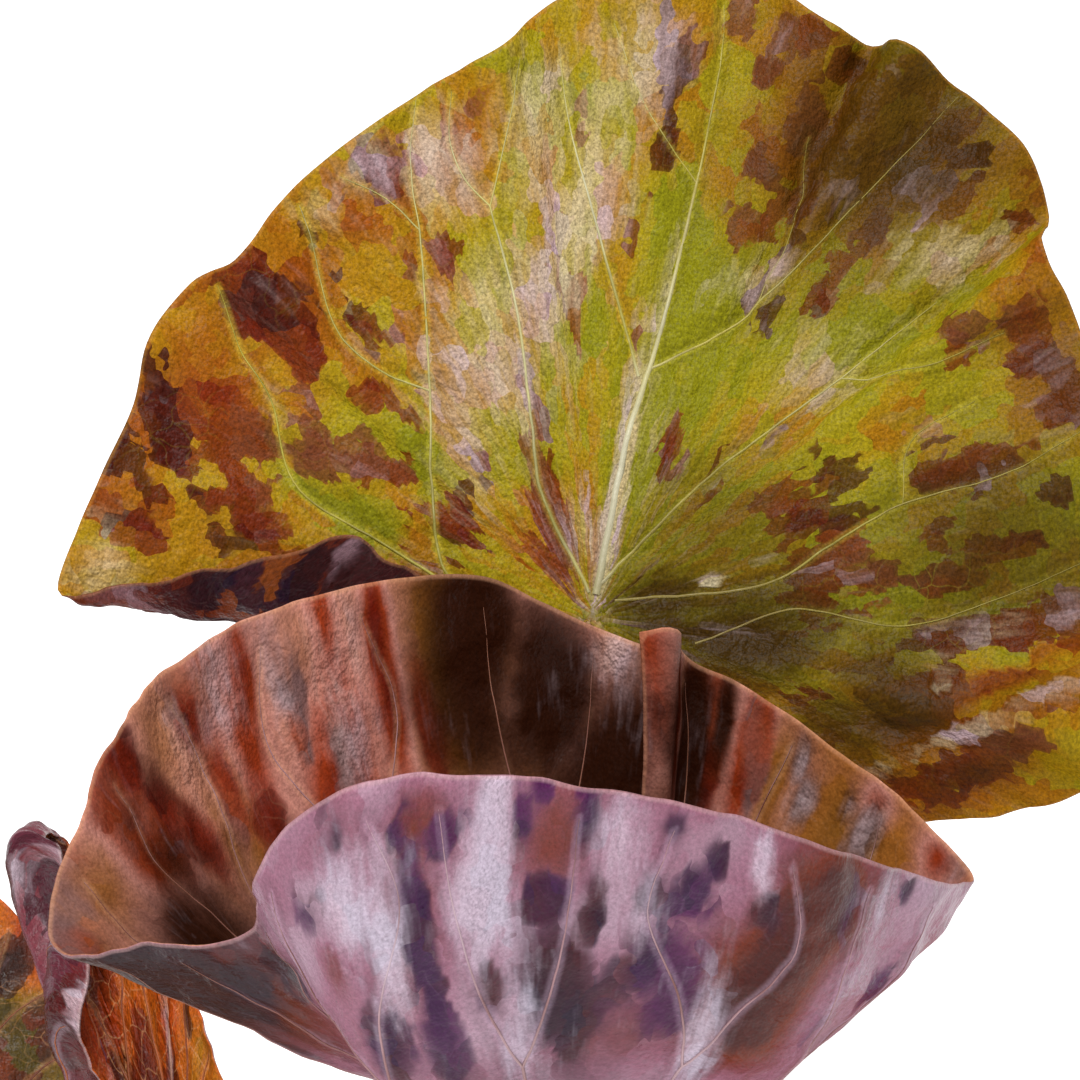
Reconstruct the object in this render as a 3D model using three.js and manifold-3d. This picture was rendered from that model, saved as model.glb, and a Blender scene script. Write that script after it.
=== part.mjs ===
// A tiger lotus: a rosette of submerged leaves, cut off flat under the crown and standing on the cut.
// Millimetres, +Z up. The origin is the centre of the flat cut.
import * as THREE from "three";
import { mergeVertices } from "three/addons/utils/BufferGeometryUtils.js";
import Module from "manifold-3d";

const wasm = await Module();
wasm.setup();

// Driving dimensions.
const CROWN = { cutRadius: 12.5, radius: 14.5, shoulder: 8, height: 21, rings: 10, sides: 24 };
const BLADE = { heartThickness: 1.5, marginThickness: 0.8 };
const STALK = { baseRadius: 3, topRadius: 1.9, sides: 8, steps: 9, footHeight: 9, topClearance: 0.9 };
const GAP = 0.3;

// A rib leaves the heart a little slower than its knee would have it, and its knee is two thirds of the way out.
const KNEE_START = 0.45;
const KNEE_SHARE = 0.66;

const MATERIALS = {
  upper: new THREE.MeshStandardMaterial({ color: 0x9a7a1e, roughness: 0.4, metalness: 0 }),
  mauve: new THREE.MeshStandardMaterial({ color: 0x9a6a70, roughness: 0.4, metalness: 0 }),
  rust: new THREE.MeshStandardMaterial({ color: 0x93461c, roughness: 0.4, metalness: 0 }),
  stalk: new THREE.MeshStandardMaterial({ color: 0x8a4a35, roughness: 0.45, metalness: 0 }),
  crown: new THREE.MeshStandardMaterial({ color: 0x4a3324, roughness: 0.8, metalness: 0 }),
};

// Each blade has its own axes from its heart, where the stalk joins: across, along to the tip, and lift off the upper side.
// A rib runs from the heart to the margin. Its row holds the margin point, and after it, where the rib turns
// sharply, the knee that it turns round. Ribs go from the left edge of the cleft round the tip to its right edge.
const BACK_RIBS = [
  [-4, -10, 2, -2, -5, 0],
  [-13, -2, 10, -9, -9, -2],
  [-24, 4, 17, -23, -9, -1],
  [-28, 6, 18, -30, -8, -1],
  [-38, 4, 14, -38, -6, 0],
  [-55, 2, 8, -53, -2, 1],
  [-62, 2, 6, -54, 1, 2],
  [-60, 10, 5],
  [-57, 17, 6],
  [-54, 25, 4],
  [-52, 33, 6],
  [-47, 40, 5],
  [-42, 42, 7],
  [-37, 50, 4],
  [-30, 56, 6],
  [-19, 65, 3],
  [-11, 69, 5],
  [-4, 76, 2],
  [9, 80, 3],
  [21, 79, 0],
  [29, 73, 3],
  [34, 71, 0],
  [38, 70, 4],
  [44, 66, 1],
  [52, 57, 4],
  [55, 49, 2],
  [54, 43, 6],
  [58, 35, 3],
  [61, 19, 6],
  [62, 0, 2],
  [60, -16, 8],
  [56, -21, 2],
  [39, -24, 0],
  [26, -22, 3],
  [15, -14, 2],
  [6, -9, 2],
];
const FRONT_RIBS = [
  [-8, -31, 41, -10, -26, 12],
  [-11, -32, 41, -11, -26, 12],
  [-13, -34, 36, -12, -26, 12],
  [-18, -33, 34, -15, -25, 12],
  [-24, -30, 31, -20, -23, 12],
  [-34, -22, 27, -28, -17, 11],
  [-40, -12, 24, -33, -9, 10],
  [-26, 6, 40, -24, 9, 13],
  [-14, 11, 48, -13, 13, 16],
  [-5, 14, 52, -4, 17, 17],
  [4, 16, 55, 4, 18, 17],
  [16, 18, 56, 14, 19, 17],
  [23, 18, 52, 20, 18, 17],
  [27, 17, 45, 19, 14, 18],
  [28, 14, 37, 18, 10, 18],
  [37, 12, 34, 24, 8, 21],
  [47, 8, 32, 31, 5, 21],
  [44, -4, 40, 34, -3, 18],
  [41, -14, 43, 33, -11, 15],
  [35, -24, 44, 29, -18, 15],
  [29, -30, 44, 24, -23, 15],
  [22, -36, 43, 18, -27, 15],
  [16, -40, 42, 13, -30, 15],
  [8, -42, 41, 6, -31, 14],
  [2, -42, 38, 1, -31, 13],
  [-4, -40, 36, -3, -29, 12],
  [-12, -36, 35, -7, -27, 11],
];
const LEFT_CURLED_RIBS = [
  [-1, -4, 2],
  [-2, -11, 4],
  [-6, -13, 6],
  [-11, -9, 7],
  [-13, -1, 8],
  [-11, 9, 9, -12, 9, 6],
  [-9, 16, 10, -11, 18, 6],
  [-10, 22, 10, -13, 26, 6],
  [-12, 27, 11, -21, 32, 6],
  [-11, 33, 12, -24, 38, 6],
  [-12, 38, 12, -22, 44, 6],
  [-14, 44, 11, -20, 50, 6],
  [-15, 48, 10, -29, 55, 6],
  [-17, 50, 7, -28, 57, 4],
  [-16, 51, 2, -20, 56, 1],
  [-14, 49, 2],
  [-10, 46, 4],
  [-5, 42, 6],
  [-2, 36, 8],
  [1, 30, 9],
  [4, 22, 9],
  [8, 14, 8],
  [11, 6, 7],
  [14, -3, 6],
  [12, -11, 5],
  [9, -15, 4],
  [4, -13, 3],
  [1, -7, 1],
];
const LEFT_OPEN_RIBS = [
  [0, -4, 1],
  [-7, -12, 3],
  [-19, -12, 4],
  [-28, -3, 6],
  [-32, 12, 4],
  [-28, 26, 6],
  [-19, 36, 4],
  [-6, 40, 6],
  [6, 40, 4],
  [16, 35, 4],
  [21, 29, 3],
  [25, 23, 2],
  [29, 16, 1],
  [31, 7, 2],
  [31, -2, 4],
  [25, -8, 3],
  [16, -10, 2],
  [8, -8, 1],
  [2, -4, 0],
];

// The leaves. A blade's ribs are given where it has a form of its own, and otherwise a plain shape that plainRibs turns
// into ribs. dish is the lift at the knees that no rib gives. A fold is a ridge that stands on the upper side along a line.
const LEAVES = [
  {
    name: "back", heart: [8, 25, 120], yaw: 0, pitch: 48, foot: [2.5, 3.5], girth: 1, columns: 56, rows: 8,
    material: "upper", ribs: BACK_RIBS, dish: 1,
    folds: [{ from: [41, -19], to: [64, -4], height: 3.5, width: 5.5 }],
  },
  {
    name: "front", heart: [4, -68, 115], yaw: 180, pitch: 0, foot: [0.5, -4.5], girth: 1, columns: 46, rows: 8,
    material: "mauve", ribs: FRONT_RIBS, dish: 12, folds: [],
  },
  {
    name: "left_curled", heart: [-37, -33, 68], yaw: 0, pitch: 45, foot: [-7, -4.6], girth: 0.75, columns: 38, rows: 7,
    material: "rust", ribs: LEFT_CURLED_RIBS, dish: 2,
    folds: [{ from: [-3, 31], to: [1, 20], height: 2, width: 2.5 }],
  },
  {
    name: "left_open", heart: [-80, -3, 57], yaw: 0, pitch: 42, foot: [-8.6, 1.8], girth: 0.75, columns: 32, rows: 6,
    material: "rust", ribs: LEFT_OPEN_RIBS, dish: 1.5, folds: [],
  },
  {
    name: "right", heart: [56, -24, 40], yaw: -105, pitch: 3, foot: [8.4, -2.6], girth: 0.75, columns: 30, rows: 6,
    material: "rust", dish: 1, folds: [],
    shape: { tip: 48, lobe: 34, side: 42, cup: 4, ruffle: 4, waves: 5, phase: 1.7, cleft: 12 },
  },
  {
    name: "front_left", heart: [-52, -58, 0], yaw: 140, pitch: -6, foot: [-5, -9.6], girth: 0.75, rests: true,
    columns: 28, rows: 5, material: "rust", dish: -3, folds: [],
    shape: { tip: 48, lobe: 33, side: 41, cup: -14, ruffle: 4, waves: 5, phase: 3.1, cleft: 12 },
  },
  {
    name: "front_right", heart: [36, -70, 0], yaw: -150, pitch: -8, foot: [4.4, -9.2], girth: 0.75, rests: true,
    columns: 28, rows: 5, material: "rust", dish: -3, folds: [],
    shape: { tip: 46, lobe: 32, side: 40, cup: -12, ruffle: 3.5, waves: 4, phase: 0.9, cleft: 13 },
  },
  {
    name: "rear", heart: [-12, 48, 0], yaw: 12, pitch: -12, foot: [-3.4, 8.8], girth: 0.75, rests: true,
    columns: 28, rows: 5, material: "rust", dish: -2, folds: [],
    shape: { tip: 34, lobe: 24, side: 33, cup: -9, ruffle: 3, waves: 5, phase: 2.3, cleft: 12 },
  },
];

const radians = THREE.MathUtils.degToRad;

/** The rib rows of a blade with a plain outline, from its reach to the tip, lobes and sides and its waves. */
function plainRibs({ tip, lobe, side, cup, ruffle, waves, phase, cleft }) {
  const rows = [];
  const steps = 4 * waves;
  for (let i = 0; i <= steps; i++) {
    const turn = radians(THREE.MathUtils.lerp(cleft - 180, 180 - cleft, i / steps));
    const reach = Math.cos(turn) > 0 ? tip : lobe;
    rows.push([side * Math.sin(turn), reach * Math.cos(turn), cup + ruffle * Math.sin(waves * turn + phase)]);
  }
  return rows;
}

/** The margin curve and the knee curve of a blade, in its own axes. */
function ribCurves(ribs, dish) {
  const margin = ribs.map(([across, along, lift]) => new THREE.Vector3(across, along, lift));
  const knee = ribs.map(([across, along, , ...turn]) =>
    new THREE.Vector3(...(turn.length ? turn : [KNEE_SHARE * across, KNEE_SHARE * along, dish])));
  const through = (points) => new THREE.CatmullRomCurve3(points, false, "catmullrom", 0.5);
  return { margin: through(margin), knee: through(knee) };
}

/** How far a fold lifts a point of the blade: all of its height on its line, and less away from it. */
function foldLift(point, { from, to, height, width }) {
  const line = new THREE.Line3(new THREE.Vector3(...from, 0), new THREE.Vector3(...to, 0));
  const flat = new THREE.Vector3(point.x, point.y, 0);
  const away = line.closestPointToPoint(flat, true, new THREE.Vector3()).distanceTo(flat);
  return height * Math.exp(-((away / width) ** 2));
}

/** A point on the blade: t goes round the margin from 0 to 1, and out goes from the heart, 0, to the margin, 1. */
function bladePoint({ margin, knee }, folds, t, out) {
  const near = 3 * out * (1 - out) ** 2 * KNEE_START;
  const far = 3 * out ** 2 * (1 - out);
  const point = knee.getPoint(t).multiplyScalar(near + far).addScaledVector(margin.getPoint(t), out ** 3);
  point.z += folds.reduce((sum, fold) => sum + foldLift(point, fold), 0);
  return point;
}

/** The blade's middle surface as rows of points, from the row nearest the heart to the margin. */
function bladeGrid({ ribs, shape, dish, folds, columns, rows }) {
  const curves = ribCurves(ribs ?? plainRibs(shape), dish);
  const turns = Array.from({ length: columns + 1 }, (_, c) => curves.margin.getUtoTmapping(c / columns));
  const steps = Array.from({ length: rows }, (_, r) => (r + 1) / rows);
  return steps.map((out) => turns.map((t) => bladePoint(curves, folds, t, out)));
}

/** The upward normal at each point of a blade's grid, from its neighbours. */
function gridNormals(grid) {
  const heart = new THREE.Vector3();
  return grid.map((row, r) => row.map((_, c) => {
    const inner = r > 0 ? grid[r - 1][c] : heart;
    const outer = grid[Math.min(r + 1, grid.length - 1)][c];
    const before = row[Math.max(c - 1, 0)];
    const after = row[Math.min(c + 1, row.length - 1)];
    return after.clone().sub(before).cross(outer.clone().sub(inner)).normalize();
  }));
}

/** A closed blade: the upper and lower sides, joined round the margin and along both edges of the cleft. */
function bladeGeometry(leaf) {
  const grid = bladeGrid(leaf);
  const columns = leaf.columns;
  const steps = leaf.rows;
  const normals = gridNormals(grid);
  const mean = normals[0].reduce((sum, n) => sum.add(n), new THREE.Vector3()).normalize();
  const points = [];
  for (const side of [0.5, -0.5]) {
    points.push(mean.clone().multiplyScalar(side * BLADE.heartThickness));
    grid.forEach((row, r) => {
      const share = (r + 1) / grid.length;
      const thick = THREE.MathUtils.lerp(BLADE.heartThickness, BLADE.marginThickness, share);
      row.forEach((p, c) => points.push(p.clone().addScaledVector(normals[r][c], side * thick)));
    });
  }
  const perSide = points.length / 2;
  const at = (side, r, c) => side * perSide + (r < 0 ? 0 : 1 + r * (columns + 1) + c);
  const faces = [];
  const quad = (a, b, c, d) => faces.push(a, b, c, a, c, d);
  for (let c = 0; c < columns; c++) {
    faces.push(at(0, -1, 0), at(0, 0, c + 1), at(0, 0, c), at(1, -1, 0), at(1, 0, c), at(1, 0, c + 1));
    for (let r = 0; r < steps - 1; r++) {
      quad(at(0, r, c), at(0, r, c + 1), at(0, r + 1, c + 1), at(0, r + 1, c));
      quad(at(1, r, c), at(1, r + 1, c), at(1, r + 1, c + 1), at(1, r, c + 1));
    }
    quad(at(0, steps - 1, c), at(0, steps - 1, c + 1), at(1, steps - 1, c + 1), at(1, steps - 1, c));
  }
  for (let r = -1; r < steps - 1; r++) {
    quad(at(0, r, 0), at(0, r + 1, 0), at(1, r + 1, 0), at(1, r, 0));
    quad(at(0, r + 1, columns), at(0, r, columns), at(1, r, columns), at(1, r + 1, columns));
  }
  const geometry = new THREE.BufferGeometry().setFromPoints(points);
  geometry.setIndex(faces);
  geometry.computeVertexNormals();
  return geometry;
}

/** A leaf's blade as a mesh in place. One that rests is lowered or raised until its lowest point is on the ground. */
function bladeMesh(leaf) {
  const mesh = new THREE.Mesh(bladeGeometry(leaf), MATERIALS[leaf.material]);
  mesh.name = `leaf_${leaf.name}`;
  mesh.rotation.set(radians(leaf.pitch), 0, radians(leaf.yaw), "ZYX");
  mesh.position.set(...leaf.heart);
  mesh.updateMatrixWorld(true);
  if (leaf.rests) mesh.position.z -= new THREE.Box3().setFromObject(mesh, true).min.z;
  mesh.updateMatrixWorld(true);
  return mesh;
}

/** A closed tube along a curve, tapering from its base to its top. */
function taperedTube(curve, baseRadius, topRadius) {
  const { sides, steps } = STALK;
  const frames = curve.computeFrenetFrames(steps, false);
  const points = [curve.getPointAt(0)];
  for (let i = 0; i <= steps; i++) {
    const centre = curve.getPointAt(i / steps);
    const radius = THREE.MathUtils.lerp(baseRadius, topRadius, i / steps);
    for (let s = 0; s < sides; s++) {
      const turn = (2 * Math.PI * s) / sides;
      points.push(centre.clone()
        .addScaledVector(frames.normals[i], radius * Math.cos(turn))
        .addScaledVector(frames.binormals[i], radius * Math.sin(turn)));
    }
  }
  points.push(curve.getPointAt(1));
  const faces = [];
  const last = points.length - 1;
  const at = (i, s) => 1 + i * sides + (s % sides);
  for (let s = 0; s < sides; s++) {
    faces.push(0, at(0, s + 1), at(0, s), last, at(steps, s), at(steps, s + 1));
    for (let i = 0; i < steps; i++) {
      faces.push(at(i, s), at(i, s + 1), at(i + 1, s + 1), at(i, s), at(i + 1, s + 1), at(i + 1, s));
    }
  }
  const geometry = new THREE.BufferGeometry().setFromPoints(points);
  geometry.setIndex(faces);
  geometry.computeVertexNormals();
  return geometry;
}

/** The line of a leaf's stalk, from its foot in the crown to just under the blade's heart. */
function stalkCurve(blade, foot) {
  const heart = blade.position.clone();
  const up = new THREE.Vector3(0, 0, 1).transformDirection(blade.matrixWorld);
  const top = heart.clone().addScaledVector(up, -(BLADE.heartThickness / 2 + STALK.topClearance));
  const outward = new THREE.Vector3(heart.x, heart.y, 0).normalize();
  const bottom = new THREE.Vector3(...foot, STALK.footHeight);
  const rise = top.distanceTo(bottom);
  const start = outward.multiplyScalar(0.35).setZ(1).normalize();
  const end = top.clone().sub(bottom).normalize().multiplyScalar(0.9).add(up).normalize();
  return new THREE.CubicBezierCurve3(
    bottom,
    bottom.clone().addScaledVector(start, 0.4 * rise),
    top.clone().addScaledVector(end, -0.3 * rise),
    top,
  );
}

/** A geometry as a solid that can be cut and joined. */
function solidOf(geometry) {
  const bare = geometry.clone();
  bare.deleteAttribute("normal");
  bare.deleteAttribute("uv");
  const merged = mergeVertices(bare, 1e-3);
  return new wasm.Manifold(new wasm.Mesh({
    numProp: 3,
    vertProperties: merged.attributes.position.array,
    triVerts: new Uint32Array(merged.index.array),
  }));
}

/** A cut or joined solid as a geometry. */
function geometryOf(solid) {
  const mesh = solid.getMesh();
  const geometry = new THREE.BufferGeometry();
  geometry.setAttribute("position", new THREE.BufferAttribute(mesh.vertProperties, 3));
  geometry.setIndex(new THREE.BufferAttribute(mesh.triVerts, 1));
  geometry.computeVertexNormals();
  return geometry;
}

/** The crown: a short, thick stem base, flat where it was cut, with a socket round the foot of each stalk. */
function crownMesh(sockets) {
  const { cutRadius, radius, shoulder, height, rings, sides } = CROWN;
  const outline = new THREE.SplineCurve([
    new THREE.Vector2(cutRadius, 0),
    new THREE.Vector2(radius, 0.3 * height),
    new THREE.Vector2(0.94 * radius, 0.7 * height),
    new THREE.Vector2(shoulder, 0.95 * height),
    new THREE.Vector2(0, height),
  ]).getPoints(rings);
  outline[rings].x = 0;
  const lathe = new THREE.LatheGeometry([new THREE.Vector2(0, 0), ...outline], sides);
  lathe.rotateX(Math.PI / 2);
  const solid = sockets.reduce((left, socket) => left.subtract(solidOf(socket)), solidOf(lathe));
  const mesh = new THREE.Mesh(geometryOf(solid), MATERIALS.crown);
  mesh.name = "crown";
  return mesh;
}

const plant = new THREE.Group();
const sockets = LEAVES.map((leaf) => {
  const blade = bladeMesh(leaf);
  const curve = stalkCurve(blade, leaf.foot);
  const radii = [leaf.girth * STALK.baseRadius, leaf.girth * STALK.topRadius];
  const stalk = new THREE.Mesh(taperedTube(curve, ...radii), MATERIALS.stalk);
  stalk.name = `stalk_${leaf.name}`;
  plant.add(blade, stalk);
  return taperedTube(curve, ...radii.map((radius) => radius + GAP));
});
plant.add(crownMesh(sockets));

export default plant;
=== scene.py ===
"""A tiger lotus in its looks: eight submerged leaves on stalks that rise from one crown cut off flat."""

from __future__ import annotations

import logging
import math
from collections.abc import Sequence
from dataclasses import dataclass
from enum import Enum

import bpy
import numpy as np
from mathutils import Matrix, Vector
from mathutils.kdtree import KDTree

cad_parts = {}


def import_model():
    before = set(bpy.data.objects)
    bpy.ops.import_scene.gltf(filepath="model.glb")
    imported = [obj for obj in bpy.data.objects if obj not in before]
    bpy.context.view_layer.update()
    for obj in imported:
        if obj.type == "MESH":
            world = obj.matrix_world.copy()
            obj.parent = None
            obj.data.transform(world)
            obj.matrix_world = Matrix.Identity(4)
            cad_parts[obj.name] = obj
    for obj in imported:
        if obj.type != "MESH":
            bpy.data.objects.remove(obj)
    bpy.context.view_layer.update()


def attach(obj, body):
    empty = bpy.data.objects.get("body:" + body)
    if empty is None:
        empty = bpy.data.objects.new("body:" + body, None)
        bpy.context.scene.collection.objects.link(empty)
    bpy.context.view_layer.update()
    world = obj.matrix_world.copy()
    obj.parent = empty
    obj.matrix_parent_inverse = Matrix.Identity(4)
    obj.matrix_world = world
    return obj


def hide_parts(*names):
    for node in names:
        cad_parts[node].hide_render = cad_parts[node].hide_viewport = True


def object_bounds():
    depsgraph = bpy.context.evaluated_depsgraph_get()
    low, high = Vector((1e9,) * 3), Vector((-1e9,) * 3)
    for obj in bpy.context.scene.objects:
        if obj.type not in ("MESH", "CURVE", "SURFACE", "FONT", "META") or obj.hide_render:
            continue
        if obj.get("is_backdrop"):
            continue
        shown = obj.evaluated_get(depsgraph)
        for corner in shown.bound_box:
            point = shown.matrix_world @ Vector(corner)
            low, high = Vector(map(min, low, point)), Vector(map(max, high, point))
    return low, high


LOG = logging.getLogger("tiger_lotus")
MM = 0.001
WHITE = (1.0, 1.0, 1.0, 1.0)
GREY = (0.5, 0.5, 0.5)
TINY = 1e-12

# Sizes in millimetres, angles in degrees. A blade's middle surface is the solid's, its sheet is thinner.
HEART_THICKNESS = 1.3
MARGIN_THICKNESS = 0.3
EDGE_BULGE = 0.45
KNEE_START = 0.45
KNEE_SHARE = 0.66
FOLD_RISE = 4
CLEFT_ANGLE = 15.0
HALF_TURN = math.radians(180 - CLEFT_ANGLE)
OUTLINE_SAMPLES = 4001
SWELL_WAVES, SWELL_RATES = 9, (0.7, 1.5)
RESTING_HEIGHT = 1.4

# How the skins' patterns lie on a blade: places round the heart, and the small angular chips of the blotches
TURN_WIDTH = 45.0
REACH_STRETCH = 0.55
CHIP_SIZE = 2.1
CHIP_STRETCH = 0.6
CHIP_PULL = 0.8
CHIP_SEED_STEP = 5

# The raised veins, and the ones that fan out where a blade has none of its own: their angles, the shares of
# the way to the margin where they start, bend and fork, and each fork's angles aside, bends and shares
VEIN_STEP = 1.0
VEIN_SEARCH_STEP = 0.4
LOWER_VEIN_GIRTH = 1.1
FAN_GRID = (72, 12)
FAN_TURNS = (0, -24, 25, -52, 50, -83, 80, -115, 112, -146, 145)
FAN_START, FAN_BEND_SHARE, FAN_FORK = 0.03, 0.3, 0.45
FAN_BEND, FAN_BEND_PACE, FAN_BEND_PHASE = 3.0, 2.4, 1
FORK_PATH = ((5, 0, 0.62), (8, 1, 0.8), (8, 0, 0.95))
TRUNK_RADII, FORK_RADII = (0.4, 0.3), (0.28, 0.05)

Rib = tuple[float, ...]
Place = tuple[float, float, float]
Socket = bpy.types.NodeSocket

# Each rib of a blade: its end on the margin (across, along, lift) and, where it bends sharply, its knee
BACK_RIBS: tuple[Rib, ...] = (
    (-4, -10, 2, -2, -5, 0), (-13, -2, 10, -9, -9, -2), (-24, 4, 17, -23, -9, -1),
    (-28, 6, 18, -30, -8, -1), (-38, 4, 14, -38, -6, 0), (-55, 2, 8, -53, -2, 1),
    (-62, 2, 6, -54, 1, 2), (-60, 10, 5), (-57, 17, 6), (-54, 25, 4), (-52, 33, 6), (-47, 40, 5),
    (-42, 42, 7), (-37, 50, 4), (-30, 56, 6), (-19, 65, 3), (-11, 69, 5), (-4, 76, 2), (9, 80, 3),
    (21, 79, 0), (29, 73, 3), (34, 71, 0), (38, 70, 4), (44, 66, 1), (52, 57, 4), (55, 49, 2),
    (54, 43, 6), (58, 35, 3), (61, 19, 6), (62, 0, 2), (60, -16, 8), (56, -21, 2), (39, -24, 0),
    (26, -22, 3), (15, -14, 2), (6, -9, 2),
)
FRONT_RIBS: tuple[Rib, ...] = (
    (-8, -31, 41, -10, -26, 12), (-11, -32, 41, -11, -26, 12), (-13, -34, 36, -12, -26, 12),
    (-18, -33, 34, -15, -25, 12), (-24, -30, 31, -20, -23, 12), (-34, -22, 27, -28, -17, 11),
    (-40, -12, 24, -33, -9, 10), (-26, 6, 40, -24, 9, 13), (-14, 11, 48, -13, 13, 16),
    (-5, 14, 52, -4, 17, 17), (4, 16, 55, 4, 18, 17), (16, 18, 56, 14, 19, 17),
    (23, 18, 52, 20, 18, 17), (27, 17, 45, 19, 14, 18), (28, 14, 37, 18, 10, 18),
    (37, 12, 34, 24, 8, 21), (47, 8, 32, 31, 5, 21), (44, -4, 40, 34, -3, 18),
    (41, -14, 43, 33, -11, 15), (35, -24, 44, 29, -18, 15), (29, -30, 44, 24, -23, 15),
    (22, -36, 43, 18, -27, 15), (16, -40, 42, 13, -30, 15), (8, -42, 41, 6, -31, 14),
    (2, -42, 38, 1, -31, 13), (-4, -40, 36, -3, -29, 12), (-12, -36, 35, -7, -27, 11),
)
LEFT_CURLED_RIBS: tuple[Rib, ...] = (
    (-1, -4, 2), (-2, -11, 4), (-6, -13, 6), (-11, -9, 7), (-13, -1, 8), (-11, 9, 9, -12, 9, 6),
    (-9, 16, 10, -11, 18, 6), (-10, 22, 10, -13, 26, 6), (-12, 27, 11, -21, 32, 6),
    (-11, 33, 12, -24, 38, 6), (-12, 38, 12, -22, 44, 6), (-14, 44, 11, -20, 50, 6),
    (-15, 48, 10, -29, 55, 6), (-17, 50, 7, -28, 57, 4), (-16, 51, 2, -20, 56, 1), (-14, 49, 2),
    (-10, 46, 4), (-5, 42, 6), (-2, 36, 8), (1, 30, 9), (4, 22, 9), (8, 14, 8), (11, 6, 7), (14, -3, 6),
    (12, -11, 5), (9, -15, 4), (4, -13, 3), (1, -7, 1),
)
LEFT_OPEN_RIBS: tuple[Rib, ...] = (
    (0, -4, 1), (-7, -12, 3), (-19, -12, 4), (-28, -3, 6), (-32, 12, 4), (-28, 26, 6), (-19, 36, 4),
    (-6, 40, 6), (6, 40, 4), (16, 35, 4), (21, 29, 3), (25, 23, 2), (29, 16, 1), (31, 7, 2),
    (31, -2, 4), (25, -8, 3), (16, -10, 2), (8, -8, 1), (2, -4, 0),
)


@dataclass(frozen=True)
class Fold:
    """A ridge that stands on a blade's upper side along a line, in the blade's own millimetres."""

    start: tuple[float, float]
    end: tuple[float, float]
    height: float
    width: float

    def lift(self, flat: np.ndarray) -> np.ndarray:
        """Say how far the fold lifts points of the blade.

        Args:
            flat: The points' across and along places, in the last axis.

        Returns:
            The lift at each point.
        """
        start = np.array(self.start)
        line = np.array(self.end) - start
        share = np.clip((flat - start) @ line / (line @ line), 0, 1)
        away = np.linalg.norm(flat - start - share[..., None] * line, axis=-1)
        return self.height * np.exp(-((away / self.width) ** 2))


@dataclass(frozen=True)
class PlainOutline:
    """A round, two-lobed outline given by its reach and its waves instead of by ribs."""

    tip: float
    lobe: float
    side: float
    cup: float
    ruffle: float
    waves: int
    phase: float
    cleft: float

    def ribs(self) -> tuple[Rib, ...]:
        """Work out the ribs.

        Returns:
            The ribs, from the cleft's left edge round the tip to its right edge.
        """
        steps = 4 * self.waves
        rows: list[Rib] = []
        for i in range(steps + 1):
            turn = math.radians(self.cleft - 180 + (360 - 2 * self.cleft) * i / steps)
            reach = self.tip if math.cos(turn) > 0 else self.lobe
            lift = self.cup + self.ruffle * math.sin(self.waves * turn + self.phase)
            rows.append((self.side * math.sin(turn), reach * math.cos(turn), lift))
        return tuple(rows)


def catmull_rom(points: np.ndarray, shares: np.ndarray) -> np.ndarray:
    """Follow a smooth curve through points.

    Args:
        points: The points, one a row.
        shares: Places along the curve, from 0 at its first point to 1 at its last.

    Returns:
        The curve's points at those places.
    """
    padded = np.vstack([2 * points[0] - points[1], points, 2 * points[-1] - points[-2]])
    place = np.clip(shares, 0, 1) * (len(points) - 1)
    first = np.minimum(place.astype(int), len(points) - 2)
    w = (place - first)[:, None]
    a, b, c, d = (padded[first + k] for k in range(4))
    leave, arrive = 0.5 * (c - a), 0.5 * (d - b)
    square, cube = 3 * (c - b) - 2 * leave - arrive, 2 * (b - c) + leave + arrive
    return b + leave * w + square * w**2 + cube * w**3


@dataclass(frozen=True)
class BladeForm:
    """Where a blade's middle surface lies: ribs that leave its heart, and how it stands on its stalk."""

    heart: Place
    yaw: float
    pitch: float
    ribs: tuple[Rib, ...]
    dish: float
    folds: tuple[Fold, ...] = ()
    rests: bool = False

    def surface(self, columns: int, rows: int) -> np.ndarray:
        """Sample the middle surface.

        Args:
            columns: How many steps to take round the margin.
            rows: How many steps to take from the heart to the margin.

        Returns:
            Points in the blade's own millimetres, by column and row, the first row at the heart.
        """
        margin = np.array([rib[:3] for rib in self.ribs], float)
        plain_knees = [(KNEE_SHARE * rib[0], KNEE_SHARE * rib[1], self.dish) for rib in self.ribs]
        knee = np.array([rib[3:] or plain for rib, plain in zip(self.ribs, plain_knees)], float)
        fine = np.linspace(0, 1, OUTLINE_SAMPLES)
        steps = np.linalg.norm(np.diff(catmull_rom(margin, fine), axis=0), axis=1)
        reached = np.concatenate([[0], np.cumsum(steps)])
        turns = np.interp(np.linspace(0, reached[-1], columns + 1), reached, fine)
        out = np.linspace(0, 1, rows + 1)
        near = 3 * out * (1 - out) ** 2 * KNEE_START + 3 * out**2 * (1 - out)
        knees, ends = catmull_rom(knee, turns)[:, None], catmull_rom(margin, turns)[:, None]
        points = knees * near[:, None] + ends * out[:, None] ** 3
        for fold in self.folds:
            points[..., 2] += fold.lift(points[..., :2]) * np.minimum(1, FOLD_RISE * out)
        return points

    def place(self, points: np.ndarray) -> np.ndarray:
        """Turn points to their place on the plant.

        Args:
            points: Points in the blade's own millimetres.

        Returns:
            The points in metres.
        """
        pitch, yaw = math.radians(self.pitch), math.radians(self.yaw)
        tilt = [[1, 0, 0], [0, math.cos(pitch), -math.sin(pitch)], [0, math.sin(pitch), math.cos(pitch)]]
        turn = [[math.cos(yaw), -math.sin(yaw), 0], [math.sin(yaw), math.cos(yaw), 0], [0, 0, 1]]
        return (points @ (np.array(turn) @ np.array(tilt)).T + np.array(self.heart)) * MM


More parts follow.
